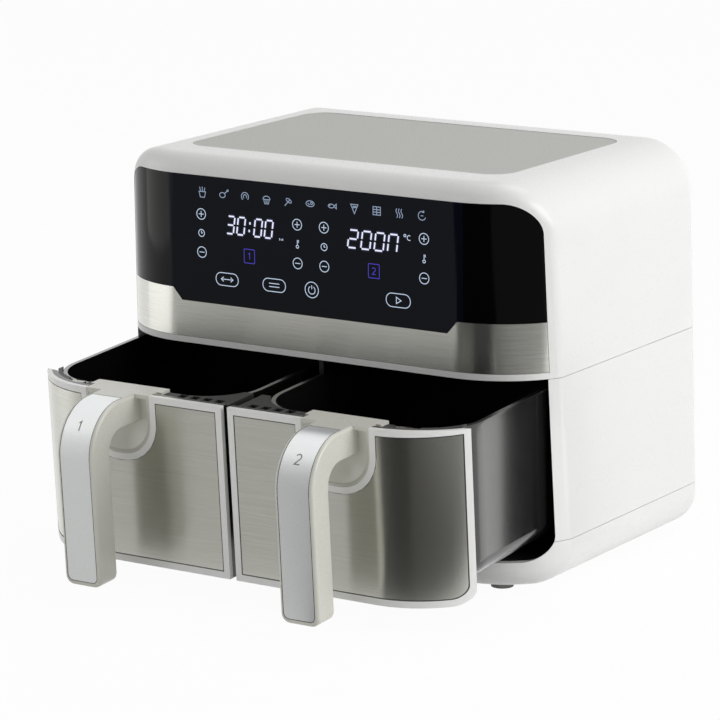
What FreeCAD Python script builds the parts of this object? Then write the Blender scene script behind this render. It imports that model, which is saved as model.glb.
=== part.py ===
import FreeCAD, Part
import math
import os
from collections import namedtuple
from types import SimpleNamespace

import Sketcher

Vector = FreeCAD.Vector
X_AXIS = Vector(1, 0, 0)
Y_AXIS = Vector(0, 1, 0)
Z_AXIS = Vector(0, 0, 1)
TOUCH = 1e-4

# Driving sizes in millimetres and degrees. X runs across the front, Y from front to back, Z up from the table.
SIZES = {
    # Housing
    "body_depth": 260,
    "body_height": 310,
    "seam_width": 385,
    "side_draft": 1.5,
    "foot_height": 6,
    "seam_height": 164,
    "base_seam": 40,
    "seam_gap": 0.4,
    "wall": 2.6,
    "front_wall": 6,
    "top_round": 40,
    "bottom_round": 26,
    "rear_round": 22,
    "lip_round": 14,
    "front_y": -46.5,
    "front_turn": 67.5,
    "front_radius": 75,
    "opening_bottom": 26,
    "opening_edge": 6,
    "opening_round": 18,
    "trim_gap": 0.3,
    "seat_gap": 0.3,
    # Inset plate in the top
    "plate_edge": 48.5,
    "plate_front": 39,
    "plate_length": 184,
    "plate_round": 20,
    "plate_thickness": 1.6,
    "plate_sink": 0.4,
    # Control panel and steel band
    "panel_edge": 5.5,
    "panel_top": 295,
    "panel_round": 24,
    "panel_low": 197,
    "panel_thickness": 3,
    "band_high": 206.5,
    "band_low": 169,
    "notch_inset": 5.5,
    "notch_run": 8.5,
    # Boards and displays
    "window_half": 102,
    "window_low": 213,
    "window_high": 281,
    "board_half": 116,
    "board_margin": 9,
    "board_thickness": 1.6,
    "display_x": 56,
    "display_z": 251,
    "display_width": 56,
    "display_height": 24,
    "display_depth": 7,
    "boss_radius": 4,
    "power_width": 150,
    "power_height": 62,
    "power_low": 205,
    "power_standoff": 8,
    "relay_side": 18,
    "capacitor_radius": 9,
    # Bay liner and divider plate
    "liner_gap": 0.8,
    "liner_sheet": 1.2,
    "liner_back": 12,
    "liner_floor": 24,
    "liner_top": 177,
    "divider_half": 2,
    "rail_half": 5,
    "rail_inset": 34,
    "rail_front": 20,
    # Heating unit
    "unit_inset": 1,
    "chamber_radius": 82,
    "chamber_height": 46,
    "chamber_sheet": 0.8,
    "mouth_radius": 75,
    "element_radius": 62,
    "element_inner": 44,
    "element_tube": 3.3,
    "element_link": 2.6,
    "element_height": 14,
    "element_leg": 12,
    "guard_wire": 1.2,
    "guard_cross": 1,
    "guard_overlap": 1.6,
    "shaft_radius": 4,
    "running_fit": 0.05,
    "fan_radius": 54,
    "fan_disc": 1,
    "fan_blade": 12,
    "fan_hub": 9,
    "fan_height": 26,
    "fan_blades": 10,
    "motor_radius": 31,
    "motor_height": 36,
    "motor_lift": 10,
    "motor_posts": 26,
    "cooling_radius": 40,
    "cooling_lift": 4,
    "sensor_radius": 2,
    "sensor_depth": 36,
    "sensor_flange": 4.5,
    # Rear face
    "grille_width": 92,
    "grille_height": 48,
    "grille_low": 216,
    "grille_bar": 3,
    "grille_slots": 7,
    "bush_edge": 62.5,
    "bush_z": 72,
    "bush_radius": 9,
    "bush_bore": 3.8,
    "bush_flange": 12,
    # Feet and screws
    "foot_edge": 47.5,
    "foot_front": 35,
    "foot_back": 215,
    "foot_radius": 10,
    "post_radius": 6,
    "screw_radius": 2,
    "screw_head": 4,
    "screw_head_height": 2.6,
    "screw_length": 19,
    # Drawers
    "drawer_tilt": 3.5,
    "drawer_pull": 110,
    "drawer_drop": 10.5,
    "drawer_proud": 6,
    "drawer_headroom": 2.5,
    "half_gap": 2.8,
    "front_height": 133,
    "front_thickness": 8,
    "front_wrap": 58.5,
    "front_end_bevel": 7.5,
    "front_corner": 12,
    "border": 5.5,
    "border_end": 3.2,
    "inlay_depth": 1.2,
    "inlay_sink": 0.2,
    # Basket, collar and crisper plate
    "basket_inner": 10,
    "basket_edge": 10.5,
    "basket_front": 22,
    "basket_length": 203,
    "basket_depth": 118,
    "basket_round": 40,
    "basket_foot_round": 15,
    "basket_sheet": 1.5,
    "rim_width": 2,
    "rim_drop": 4,
    "rim_height": 1.6,
    "glide_length": 14,
    "glide_height": 2,
    "glide_gap": 0.3,
    "collar_drop": 2,
    "collar_height": 34,
    "collar_back": 44,
    "collar_wrap": 56,
    "collar_inner": 4,
    "collar_hole": 7,
    "collar_hole_depth": 9,
    "collar_rib": 4,
    "magnet_length": 12,
    "magnet_width": 5,
    "magnet_inset": 36,
    "crisper_gap": 3,
    "crisper_height": 12,
    "crisper_sheet": 2,
    "crisper_slot": 4,
    "crisper_slots": 9,
    "bumper_radius": 5,
    "bumper_inset": 24,
    # Handles
    "handle_offset": 0.5,
    "handle_width": 32.5,
    "handle_reach": 56,
    "handle_bend": 38,
    "handle_thickness": 22,
    "handle_length": 135,
    "handle_corner": 7,
    "handle_edge": 2.5,
    "handle_cover": 3,
    "scoop_half": 28.5,
    "scoop_depth": 47,
    "scoop_round": 26,
    "scoop_rim": 1.2,
    "scoop_back": 3,
    "cover_tab": 4,
    "strip_width": 27,
    "strip_depth": 0.9,
    "strip_start": 12,
    "strip_end": 3.5,
    "strip_corner": 4.5,
}


class Size:
    """A length or angle that carries its number and the sheet expression that it comes from."""

    def __init__(self, number, text):
        self.number = number
        self.text = text

    def __neg__(self):
        return Size(-self.number, f"(-{self.text})")

    def __add__(self, other):
        other = as_size(other)
        return Size(self.number + other.number, f"({self.text} + {other.text})")

    def __sub__(self, other):
        other = as_size(other)
        return Size(self.number - other.number, f"({self.text} - {other.text})")

    def __mul__(self, other):
        other = as_size(other)
        return Size(self.number * other.number, f"({self.text} * {other.text})")

    def __truediv__(self, other):
        other = as_size(other)
        return Size(self.number / other.number, f"({self.text} / {other.text})")

    __radd__ = __add__
    __rmul__ = __mul__

    def __rsub__(self, other):
        return as_size(other) - self


def as_size(item):
    return item if isinstance(item, Size) else Size(float(item), f"({item})")


def sine(angle):
    return Size(math.sin(math.radians(angle.number)), f"sin({angle.text})")


def cosine(angle):
    return Size(math.cos(math.radians(angle.number)), f"cos({angle.text})")


def tangent(angle):
    return Size(math.tan(math.radians(angle.number)), f"tan({angle.text})")


def square_root(item):
    return Size(math.sqrt(item.number), f"sqrt({item.text})")


doc = FreeCAD.newDocument("AirFryer")
sheet = doc.addObject("Spreadsheet::Sheet", "Sizes")
d = SimpleNamespace()
for row, (alias, number) in enumerate(SIZES.items(), 1):
    sheet.set(f"A{row}", alias)
    sheet.set(f"B{row}", str(number))
    sheet.setAlias(f"B{row}", alias)
    setattr(d, alias, Size(float(number), f"Sizes.{alias}"))
doc.recompute()


def set_places_across():
    """Works out the places across the housing from its width."""
    half = d.seam_width / 2
    d.front_flat = half - d.front_turn
    d.plate_half_width = half - d.plate_edge
    d.panel_half_width = half - d.panel_edge
    d.notch_half = d.front_flat - d.notch_inset
    d.bush_x = half - d.bush_edge
    d.foot_x = half - d.foot_edge
    d.basket_outer = half - d.basket_edge
    basket_middle = (d.basket_inner + d.basket_outer) / 2
    d.unit_x = basket_middle - d.unit_inset
    d.handle_x = basket_middle + d.handle_offset
    d.rail_inner = d.basket_inner + d.rail_inset
    d.rail_outer = d.basket_outer - d.rail_inset
    d.magnet_x = d.basket_outer - d.magnet_inset


set_places_across()
nodes = []


# Helpers for the document's objects

# An outline's point. A radius makes the edge that leads on from it an arc, turning left (1) or right (-1).
Corner = namedtuple("Corner", "x y radius turn", defaults=(None, 1))


def bind(item, name, length):
    item.setExpression(name, as_size(length).text)


def keep(item, label):
    """Names a finished sub-part, which is written to a file of that name."""
    item.Label = label
    nodes.append(item)
    return item


def arc_between(start, end, radius, turn):
    """The shorter arc from start to end, as sketch geometry."""
    chord = end - start
    left = Vector(-chord.y, chord.x, 0).normalize()
    rise = math.sqrt(max(radius ** 2 - chord.Length ** 2 / 4, 0))
    centre = (start + end) * 0.5 + left * (turn * rise)
    first, last = (start, end) if turn > 0 else (end, start)
    low = math.atan2(first.y - centre.y, first.x - centre.x)
    high = math.atan2(last.y - centre.y, last.x - centre.x)
    if high < low:
        high += 2 * math.pi
    return Part.ArcOfCircle(Part.Circle(centre, Z_AXIS, radius), low, high)


def add_loop(sketch, corners):
    """Draws a closed outline and fixes each of its points and radii to the sheet."""
    first = sketch.GeometryCount
    count = len(corners)
    places = [(as_size(corner.x), as_size(corner.y)) for corner in corners]
    points = [Vector(x.number, y.number, 0) for x, y in places]
    for index, corner in enumerate(corners):
        start = points[index]
        end = points[(index + 1) % count]
        if corner.radius is None:
            edge = Part.LineSegment(start, end)
        else:
            edge = arc_between(start, end, as_size(corner.radius).number, corner.turn)
        sketch.addGeometry(edge, False)
    starts = [2 if corner.radius is not None and corner.turn < 0 else 1 for corner in corners]
    for index, corner in enumerate(corners):
        edge = first + index
        following = (index + 1) % count
        sketch.addConstraint(Sketcher.Constraint(
            "Coincident", edge, 3 - starts[index], first + following, starts[following]))
        for kind, place, axis in zip(("DistanceX", "DistanceY"), places[index], (-2, -1)):
            if place.number == 0:
                sketch.addConstraint(Sketcher.Constraint("PointOnObject", edge, starts[index], axis))
                continue
            limit = sketch.addConstraint(
                Sketcher.Constraint(kind, -1, 1, edge, starts[index], place.number))
            bind(sketch, f"Constraints[{limit}]", place)
        if corner.radius is not None:
            limit = sketch.addConstraint(Sketcher.Constraint("Radius", edge, as_size(corner.radius).number))
            bind(sketch, f"Constraints[{limit}]", corner.radius)


def add_circle(sketch, x, y, radius):
    circle = sketch.addGeometry(
        Part.Circle(Vector(as_size(x).number, as_size(y).number, 0), Z_AXIS, radius.number), False)
    for kind, place, axis in (("DistanceX", as_size(x), -2), ("DistanceY", as_size(y), -1)):
        if place.number == 0:
            sketch.addConstraint(Sketcher.Constraint("PointOnObject", circle, 3, axis))
            continue
        limit = sketch.addConstraint(Sketcher.Constraint(kind, -1, 1, circle, 3, place.number))
        bind(sketch, f"Constraints[{limit}]", place)
    limit = sketch.addConstraint(Sketcher.Constraint("Radius", circle, radius.number))
    bind(sketch, f"Constraints[{limit}]", radius)


def new_body(name):
    return doc.addObject("PartDesign::Body", name)


def outline(body, name, plane, loops, start=0):
    """A sketch of closed outlines on one of the body's planes, moved along that plane's axis to start."""
    sketch = body.newObject("Sketcher::SketchObject", name)
    support = [feature for feature in body.Origin.OriginFeatures if feature.Role == plane]
    sketch.AttachmentSupport = [(support[0], "")]
    sketch.MapMode = "FlatFace"
    bind(sketch, "AttachmentOffset.Base.z", -as_size(start) if plane == "XZ_Plane" else start)
    for loop in loops:
        add_loop(sketch, loop)
    return sketch


def grow(body, sketch, length):
    """Pads an outline in the positive direction of its axis."""
    feature = body.newObject("PartDesign::Pad", sketch.Name + "Pad")
    feature.Profile = sketch
    bind(feature, "Length", length)
    feature.Reversed = sketch.AttachmentSupport[0][0].Role == "XZ_Plane"
    doc.recompute()
    return feature


def sink(body, sketch, length):
    """Pockets an outline in the positive direction of its axis."""
    feature = body.newObject("PartDesign::Pocket", sketch.Name + "Pocket")
    feature.Profile = sketch
    bind(feature, "Length", length)
    feature.Reversed = sketch.AttachmentSupport[0][0].Role != "XZ_Plane"
    doc.recompute()
    return feature


def edge_names(shape, wanted):
    return [f"Edge{number}" for number, edge in enumerate(shape.Edges, 1) if wanted(edge)]


def soften(body, name, wanted, radius):
    """Rounds the wanted edges of a body's last feature."""
    base = body.Tip
    feature = body.newObject("PartDesign::Fillet", name)
    feature.Base = (base, edge_names(base.Shape, wanted))
    bind(feature, "Radius", radius)
    doc.recompute()
    return feature


def along(axis, **places):
    """A test for straight edges along an axis whose ends lie at the given coordinates."""
    def wanted(edge):
        if not isinstance(edge.Curve, Part.Line):
            return False
        if edge.Curve.Direction.cross(axis).Length > TOUCH:
            return False
        ends = [vertex.Point for vertex in edge.Vertexes]
        return all(abs(getattr(end, name) - place.number) < TOUCH
                   for end in ends for name, place in places.items())
    return wanted


def prism(name, plane, loops, start, length):
    body = new_body(name)
    grow(body, outline(body, name + "Outline", plane, loops, start), length)
    return body


def place(item, x, y, z):
    for axis, length in zip("xyz", (x, y, z)):
        bind(item, f"Placement.Base.{axis}", length)
    return item


def box(name, x, y, z, length, width, height):
    item = doc.addObject("Part::Box", name)
    bind(item, "Length", length)
    bind(item, "Width", width)
    bind(item, "Height", height)
    return place(item, x, y, z)


def cylinder(name, x, y, z, radius, height, axis=Z_AXIS):
    item = doc.addObject("Part::Cylinder", name)
    item.Placement = FreeCAD.Placement(Vector(), FreeCAD.Rotation(Z_AXIS, axis))
    bind(item, "Radius", radius)
    bind(item, "Height", height)
    return place(item, x, y, z)


def ring(name, x, y, z, radius, tube):
    item = doc.addObject("Part::Torus", name)
    bind(item, "Radius1", radius)
    bind(item, "Radius2", tube)
    return place(item, x, y, z)


def fuse(name, *items):
    item = doc.addObject("Part::MultiFuse", name)
    item.Shapes = list(items)
    return item


def cut(name, base, *tools):
    item = doc.addObject("Part::Cut", name)
    item.Base = base
    item.Tool = tools[0] if len(tools) == 1 else fuse(name + "Tools", *tools)
    return item


def common(name, first, second):
    item = doc.addObject("Part::Common", name)
    item.Base = first
    item.Tool = second
    return item


def group(name, *items):
    item = doc.addObject("Part::Compound", name)
    item.Links = list(items)
    return item


def keep_pair(item, label):
    """Keeps a right-hand sub-part and its mirror image on the left."""
    keep(item, label + "_right")
    other = doc.addObject("Part::Mirroring", item.Name + "Left")
    other.Source = item
    other.Normal = X_AXIS
    keep(other, label + "_left")


# Outlines that several pieces share

def half_width(z):
    """Half the housing's width at a height: the sides draw in towards the top."""
    return d.seam_width / 2 - (z - d.seam_height) * tangent(d.side_draft)


def rounded_loop(x_low, y_low, x_high, y_high, radius):
    return [
        Corner(x_low + radius, y_low), Corner(x_high - radius, y_low, radius),
        Corner(x_high, y_low + radius), Corner(x_high, y_high - radius, radius),
        Corner(x_high - radius, y_high), Corner(x_low + radius, y_high, radius),
        Corner(x_low, y_high - radius), Corner(x_low, y_low + radius, radius),
    ]


def front_point(inset, wrap, front):
    """The point where the front's curve, moved in by inset, has turned back by the angle wrap."""
    radius = d.front_radius - inset
    return d.front_flat + radius * sine(wrap), front + d.front_radius - radius * cosine(wrap)


def front_strip(outer, inner, front, start=None, bevel=0):
    """A plan strip along the front's curve, whole or from start to the right-hand end."""
    outer_x, outer_y = front_point(outer, d.front_wrap, front)
    inner_x, inner_y = front_point(inner, d.front_wrap - bevel, front)
    right = [
        Corner(d.front_flat, front + outer, d.front_radius - outer), Corner(outer_x, outer_y),
        Corner(inner_x, inner_y, d.front_radius - inner, -1), Corner(d.front_flat, front + inner),
    ]
    if start is not None:
        return [Corner(start, front + outer)] + right + [Corner(start, front + inner)]
    left = [
        Corner(-d.front_flat, front + inner, d.front_radius - inner, -1), Corner(-inner_x, inner_y),
        Corner(-outer_x, outer_y, d.front_radius - outer), Corner(-d.front_flat, front + outer),
    ]
    return right + left


def tub_loop(inset, front_inset):
    """The plan of the space inside the housing, drawn in by the two insets."""
    half = half_width(d.liner_top) - d.wall - inset
    front = d.front_y + d.front_wall + front_inset
    radius = d.front_radius - d.front_wall - front_inset
    turn_y = front + radius - square_root(radius * radius - (half - d.front_flat) * (half - d.front_flat))
    back = d.front_y + d.body_depth - d.wall - d.liner_back - inset
    corner = d.rear_round - d.wall - inset
    return [
        Corner(-d.front_flat, front), Corner(d.front_flat, front, radius), Corner(half, turn_y),
        Corner(half, back - corner, corner), Corner(half - corner, back),
        Corner(corner - half, back, corner), Corner(-half, back - corner), Corner(-half, turn_y, radius),
    ]


# Housing

def envelope(name, inset, front_inset):
    """The housing's outer form, or with insets the hollow inside it."""
    body = new_body(name)
    low = d.foot_height + inset
    high = d.body_height - inset
    low_half = half_width(low) - inset
    high_half = half_width(high) - inset
    front = d.front_y + front_inset
    back = d.front_y + d.body_depth - inset
    radius = d.front_radius - front_inset
    section = [Corner(-low_half, low), Corner(low_half, low), Corner(high_half, high), Corner(-high_half, high)]
    grow(body, outline(body, name + "Section", "XZ_Plane", [section], front), back - front)
    soften(body, name + "TopRound", along(Y_AXIS, z=high), d.top_round - inset)
    soften(body, name + "BottomRound", along(Y_AXIS, z=low), d.bottom_round - inset)
    far = d.front_flat + radius
    corners = [[Corner(side * d.front_flat, front, radius, side), Corner(side * far, front + radius),
                Corner(side * far, front)] for side in (1, -1)]
    sink(body, outline(body, name + "Corners", "XY_Plane", corners), d.body_height)
    soften(body, name + "RearRound",
           lambda edge: all(abs(vertex.Y - back.number) < TOUCH for vertex in edge.Vertexes),
           d.rear_round - inset)
    shape = body.Tip.Shape

    def is_front(face):
        surface = face.Surface
        if isinstance(surface, Part.Plane):
            return abs(face.CenterOfMass.y - front.number) < TOUCH
        upright = isinstance(surface, Part.Cylinder) and abs(surface.Axis.z) > 1 - TOUCH
        return upright and face.CenterOfMass.y < (front + radius).number

    def is_front_rim(edge):
        faces = shape.ancestorsOfType(edge, Part.Face)
        return len(faces) == 2 and is_front(faces[0]) != is_front(faces[1])

    soften(body, name + "Lip", is_front_rim, d.lip_round - inset)
    return body


def slab(name, low, high):
    """A block that spans the housing between two heights."""
    reach = d.seam_width
    return box(name, -reach, -reach, low, reach * 2, reach * 2, high - low)


def panel_loop(gap):
    """The recess that takes the control panel and the steel band, seen from the front."""
    half = d.panel_half_width + gap
    low = d.band_low - gap
    high = d.panel_top + gap
    radius = d.panel_round + gap
    low_half = half - (low - d.seam_height) * tangent(d.side_draft)
    high_half = half - (high - radius - d.seam_height) * tangent(d.side_draft)
    return [
        Corner(-low_half, low), Corner(low_half, low), Corner(high_half, high - radius, radius),
        Corner(high_half - radius, high), Corner(radius - high_half, high, radius),
        Corner(-high_half, high - radius),
    ]


def notch_points(shift):
    """The step between the panel and the band, from right to left."""
    low = d.panel_low + shift
    high = d.band_high + shift
    half = d.panel_half_width - (d.band_high - d.seam_height) * tangent(d.side_draft)
    top = d.notch_half + d.notch_run
    return [Corner(half, high), Corner(top, high), Corner(d.notch_half, low),
            Corner(-d.notch_half, low), Corner(-top, high), Corner(-half, high)]


def curved_plate(name, outer, inner, loop):
    """A plate that follows the front's curve between two insets, trimmed to an outline seen from the front."""
    strip = prism(name + "Strip", "XY_Plane", [front_strip(outer, inner, d.front_y)],
                  d.seam_height, d.body_height - d.seam_height)
    face = prism(name + "Face", "XZ_Plane", [loop], d.front_y - d.front_wall, d.front_radius)
    return common(name, strip, face)


def make_housing():
    outer = envelope("OuterForm", as_size(0), as_size(0))
    hollow = envelope("HollowForm", d.wall, d.front_wall)
    shell = cut("Shell", outer, hollow)
    front_room = d.front_y - d.front_wall
    low = d.opening_bottom
    high = d.seam_height
    low_half = half_width(low) - d.opening_edge
    high_half = half_width(high) - d.opening_edge
    opening = new_body("Opening")
    mouth = [Corner(-low_half, low), Corner(low_half, low), Corner(high_half, high), Corner(-high_half, high)]
    grow(opening, outline(opening, "OpeningOutline", "XZ_Plane", [mouth], front_room), d.front_radius)
    soften(opening, "OpeningRound", along(Y_AXIS, z=low), d.opening_round)
    make_top_housing(shell)
    make_lower_housing(shell, opening)
    make_base(shell, opening)


def grille_place():
    """Left edge, rear face and lower edge of the right-hand exhaust grille."""
    return d.unit_x - d.grille_width / 2, d.front_y + d.body_depth - d.wall, d.grille_low


def make_top_housing(shell):
    upper = common("UpperShell", shell, slab("UpperSlab", d.seam_height, d.body_height))
    seat = d.panel_thickness + d.inlay_sink
    recess = curved_plate("PanelRecess", -d.front_wall, seat, panel_loop(d.trim_gap))
    plate_seat = d.plate_thickness + d.plate_sink
    gap = d.trim_gap
    back = d.plate_front + d.plate_length
    tray = prism("PlateRecess", "XY_Plane", [rounded_loop(
        -d.plate_half_width - gap, d.front_y + d.plate_front - gap,
        d.plate_half_width + gap, d.front_y + back + gap, d.plate_round + gap)],
        d.body_height - plate_seat, plate_seat)
    window = box("DisplayWindow", -d.window_half, d.front_y - d.front_wall, d.window_low,
                 d.window_half * 2, d.front_wall * 3, d.window_high - d.window_low)
    grille_x, grille_y, grille_z = grille_place()
    vents = [box(f"Vent{side}", x - gap, grille_y - d.wall, grille_z - gap, d.grille_width + gap * 2,
                 d.wall * 3, d.grille_height + gap * 2)
             for side, x in (("Right", grille_x), ("Left", -grille_x - d.grille_width))]
    trimmed = cut("TrimmedTop", upper, recess, tray, window, *vents)
    bosses = [cylinder(f"BoardBoss{row}{column}", column * board_screw_x(), d.front_y + d.front_wall, z,
                       d.boss_radius, board_front() - d.front_y - d.front_wall, Y_AXIS)
              for row, z in enumerate(board_screw_heights()) for column in (1, -1)]
    posts = [cylinder(f"PowerPost{row}{column}", column * (d.power_width / 2 - d.boss_radius), power_back(), z,
                      d.boss_radius, d.power_standoff, Y_AXIS)
             for row, z in enumerate((d.power_low + d.boss_radius, d.power_low + d.power_height - d.boss_radius))
             for column in (1, -1)]
    keep(fuse("TopHousing", trimmed, *bosses, *posts), "top_housing")
    keep(prism("TopPlate", "XY_Plane", [rounded_loop(
        -d.plate_half_width, d.front_y + d.plate_front, d.plate_half_width, d.front_y + back, d.plate_round)],
        d.body_height - plate_seat, d.plate_thickness), "top_plate")
    keep_pair(make_grille(grille_x, grille_y, grille_z), "rear_grille")


def make_grille(x, y, z):
    """An exhaust grille with level slots."""
    plate = box("GrillePlate", x, y, z, d.grille_width, d.wall, d.grille_height)
    count = int(SIZES["grille_slots"])
    slot = (d.grille_height - d.grille_bar * (count + 1)) / count
    slots = [box(f"GrilleSlot{number}", x + d.grille_bar, y - d.wall,
                 z + d.grille_bar + (d.grille_bar + slot) * number,
                 d.grille_width - d.grille_bar * 2, d.wall * 3, slot) for number in range(count)]
    return cut("Grille", plate, *slots)


def make_lower_housing(shell, opening):
    middle = common("MiddleShell", shell, slab("MiddleSlab", d.base_seam, d.seam_height - d.seam_gap))
    back = d.front_y + d.body_depth
    hole = cylinder("BushHole", -d.bush_x, back - d.wall * 2, d.bush_z, d.bush_radius + d.trim_gap,
                    d.wall * 4, Y_AXIS)
    keep(cut("LowerHousing", middle, opening, hole), "lower_housing")
    flange = cylinder("BushFlange", -d.bush_x, back, d.bush_z, d.bush_flange, d.wall, Y_AXIS)
    neck = cylinder("BushNeck", -d.bush_x, back - d.wall * 2, d.bush_z, d.bush_radius, d.wall * 3, Y_AXIS)
    bore = cylinder("BushBore", -d.bush_x, back - d.wall * 3, d.bush_z, d.bush_bore, d.wall * 6, Y_AXIS)
    keep(cut("CordBush", fuse("BushSolid", flange, neck), bore), "cord_bush")


def foot_places():
    return [(side * d.foot_x, d.front_y + y) for y in (d.foot_front, d.foot_back) for side in (1, -1)]


def post_places():
    """The posts that carry the bay liner stand beside the feet."""
    step = d.foot_radius + d.post_radius
    return [(side * (d.foot_x - step), d.front_y + y)
            for y in (d.foot_front + step, d.foot_back - step) for side in (1, -1)]


def make_base(shell, opening):
    lower = common("BaseShell", shell, slab("BaseSlab", d.foot_height, d.base_seam - d.seam_gap))
    floor = d.foot_height + d.wall
    tray = cut("BaseTray", lower, opening)
    posts = [cylinder(f"LinerPost{number}", x, y, d.foot_height + d.wall / 2, d.post_radius,
                      d.liner_floor - d.foot_height - d.wall / 2)
             for number, (x, y) in enumerate(post_places())]
    holes = [cylinder(f"PostHole{number}", x, y, d.foot_height - floor, d.screw_radius + d.running_fit,
                      d.liner_floor + floor) for number, (x, y) in enumerate(post_places())]
    keep(cut("BasePan", fuse("BaseSolid", tray, *posts), *holes), "base_pan")
    feet = []
    for number, (x, y) in enumerate(foot_places()):
        foot = doc.addObject("Part::Cone", f"Foot{number}")
        bind(foot, "Radius1", d.foot_radius - d.foot_height / 4)
        bind(foot, "Radius2", d.foot_radius)
        bind(foot, "Height", d.foot_height)
        feet.append(place(foot, x, y, 0))
    keep(group("RubberFeet", *feet), "rubber_feet")
    screws = [make_screw(f"BaseScrew{number}", x, y, d.foot_height)
              for number, (x, y) in enumerate(post_places())]
    keep(group("BaseScrews", *screws), "base_screws")


def make_screw(name, x, y, z):
    """An upright screw with its head below z."""
    head = cylinder(name + "Head", x, y, z - d.screw_head_height, d.screw_head, d.screw_head_height)
    shank = cylinder(name + "Shank", x, y, z - d.screw_head_height / 2, d.screw_radius,
                     d.screw_length + d.screw_head_height / 2)
    return fuse(name, head, shank)


# Control panel and boards

def board_front():
    return d.front_y + d.panel_thickness + d.inlay_sink + d.display_depth


def board_screw_x():
    return (d.window_half + d.board_half) / 2


def board_screw_heights():
    low = d.window_low - d.board_margin / 2
    high = d.window_high + d.board_margin / 2
    return low, high


def make_panel():
    gap = d.trim_gap / 2
    frame = panel_loop(as_size(0))
    upper = notch_points(gap)
    panel = [frame[2], frame[3], frame[4], frame[5]] + upper[::-1]
    keep(curved_plate("ControlPanel", d.inlay_sink, d.inlay_sink + d.panel_thickness, panel), "control_panel")
    lower = notch_points(-gap)
    band = [frame[0], frame[1]] + lower
    keep(curved_plate("SteelBand", d.inlay_sink, d.inlay_sink + d.panel_thickness, band), "steel_band")
    low = d.window_low - d.board_margin
    height = d.window_high - d.window_low + d.board_margin * 2
    keep(box("ControlBoard", -d.board_half, board_front(), low, d.board_half * 2, d.board_thickness, height),
         "control_board")
    keep_pair(box("Display", d.display_x - d.display_width / 2, board_front() - d.display_depth,
                  d.display_z - d.display_height / 2, d.display_width, d.display_depth, d.display_height),
              "display_module")


def power_back():
    return d.front_y + d.body_depth - d.wall - d.power_standoff


def make_power_board():
    """The mains board, upright on posts behind the heating units, with its relays and a capacitor."""
    y = power_back() - d.board_thickness
    board = box("PowerSheet", -d.power_width / 2, y, d.power_low, d.power_width, d.board_thickness, d.power_height)
    depth = d.relay_side * 2 / 3
    middle = d.power_low + d.power_height / 2
    relays = [box(f"Relay{number}", d.relay_side * (number * 1.5 - 2), y - depth, middle - d.relay_side / 2,
                  d.relay_side, depth + d.board_thickness / 2, d.relay_side) for number in range(2)]
    can = cylinder("Capacitor", d.power_width / 4, y - d.capacitor_radius, middle, d.capacitor_radius,
                   d.capacitor_radius + d.board_thickness / 2, Y_AXIS)
    keep(fuse("PowerBoard", board, *relays, can), "power_board")


# Bay liner with its rails

def drawer_origin():
    """Depth and height of a drawer front's top edge at rest, pulled out and let down."""
    return (d.front_y - d.drawer_proud - d.drawer_pull,
            d.seam_height - d.drawer_headroom - d.drawer_drop)


def basket_floor():
    """Height of the basket's underside below the drawer front's top edge."""
    return d.rim_drop + d.basket_depth


def glide_back():
    """Distance of the glides' rear edge behind the drawer's front."""
    return d.basket_front + d.basket_length - d.basket_foot_round


def rail_height(y):
    """The rails follow the line on which the glides' rear edge travels, a small gap below it."""
    front, top = drawer_origin()
    low = basket_floor() + d.glide_height
    glide_y = front + glide_back() * cosine(d.drawer_tilt) + low * sine(d.drawer_tilt)
    glide_z = top + glide_back() * sine(d.drawer_tilt) - low * cosine(d.drawer_tilt)
    return glide_z - d.glide_gap + (y - glide_y) * d.drawer_drop / d.drawer_pull


def make_liner():
    height = d.liner_top - d.liner_floor
    tub = new_body("LinerTub")
    grow(tub, outline(tub, "LinerOuter", "XY_Plane", [tub_loop(d.liner_gap, d.seat_gap)], d.liner_floor), height)
    inner = tub_loop(d.liner_gap + d.liner_sheet, d.seat_gap + d.liner_sheet)
    sink(tub, outline(tub, "LinerInner", "XY_Plane", [inner], d.liner_floor + d.liner_sheet), height)
    screw_holes = [cylinder(f"LinerHole{number}", x, y, d.liner_floor - d.wall, d.screw_radius + d.running_fit,
                            d.wall * 3) for number, (x, y) in enumerate(post_places())]
    mouth_half = half_width(d.seam_height) - d.opening_edge
    mouth = box("LinerMouth", -mouth_half, d.front_y, d.liner_floor + d.liner_sheet, mouth_half * 2,
                d.front_radius, d.liner_top - d.liner_floor)
    open_tub = cut("OpenTub", tub, mouth, *screw_holes)
    start = d.front_y + d.front_wall * 2
    back = d.front_y + d.body_depth - d.wall - d.liner_back - d.liner_gap - d.liner_sheet
    base = d.liner_floor + d.liner_sheet / 2
    divider = box("BayDivider", -d.divider_half, start, base, d.divider_half * 2,
                  back - start + d.liner_sheet / 2, d.liner_top - base)
    rail_start = d.front_y + d.rail_front
    slope = [Corner(rail_start, base), Corner(back, base), Corner(back, rail_height(back)),
             Corner(rail_start, rail_height(rail_start))]
    rails = [prism(f"Rail{number}", "YZ_Plane", [slope], x - d.rail_half, d.rail_half * 2)
             for number, x in enumerate((d.rail_inner, d.rail_outer, -d.rail_inner, -d.rail_outer))]
    keep(fuse("BayLiner", open_tub, divider, *rails), "bay_liner")
    plate = prism("DividerSheet", "XY_Plane", [tub_loop(d.liner_gap, d.seat_gap)], d.liner_top, d.liner_sheet)
    mouths = [cylinder(f"ChamberMouth{side}", side * d.unit_x, unit_y(), d.liner_top - d.wall, d.mouth_radius,
                       d.wall * 3) for side in (1, -1)]
    keep(cut("DividerPlate", plate, *mouths), "divider_plate")
    sensor_low = d.magnet_width
    keep_pair(box("DrawerSensor", d.magnet_x - d.magnet_length, sensor_y(), d.liner_top - sensor_low,
                  d.magnet_length * 2, d.magnet_width * 2, sensor_low), "drawer_sensor")


def sensor_y():
    return d.front_y - d.drawer_proud + d.collar_back - d.magnet_width


# Heating units

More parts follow.
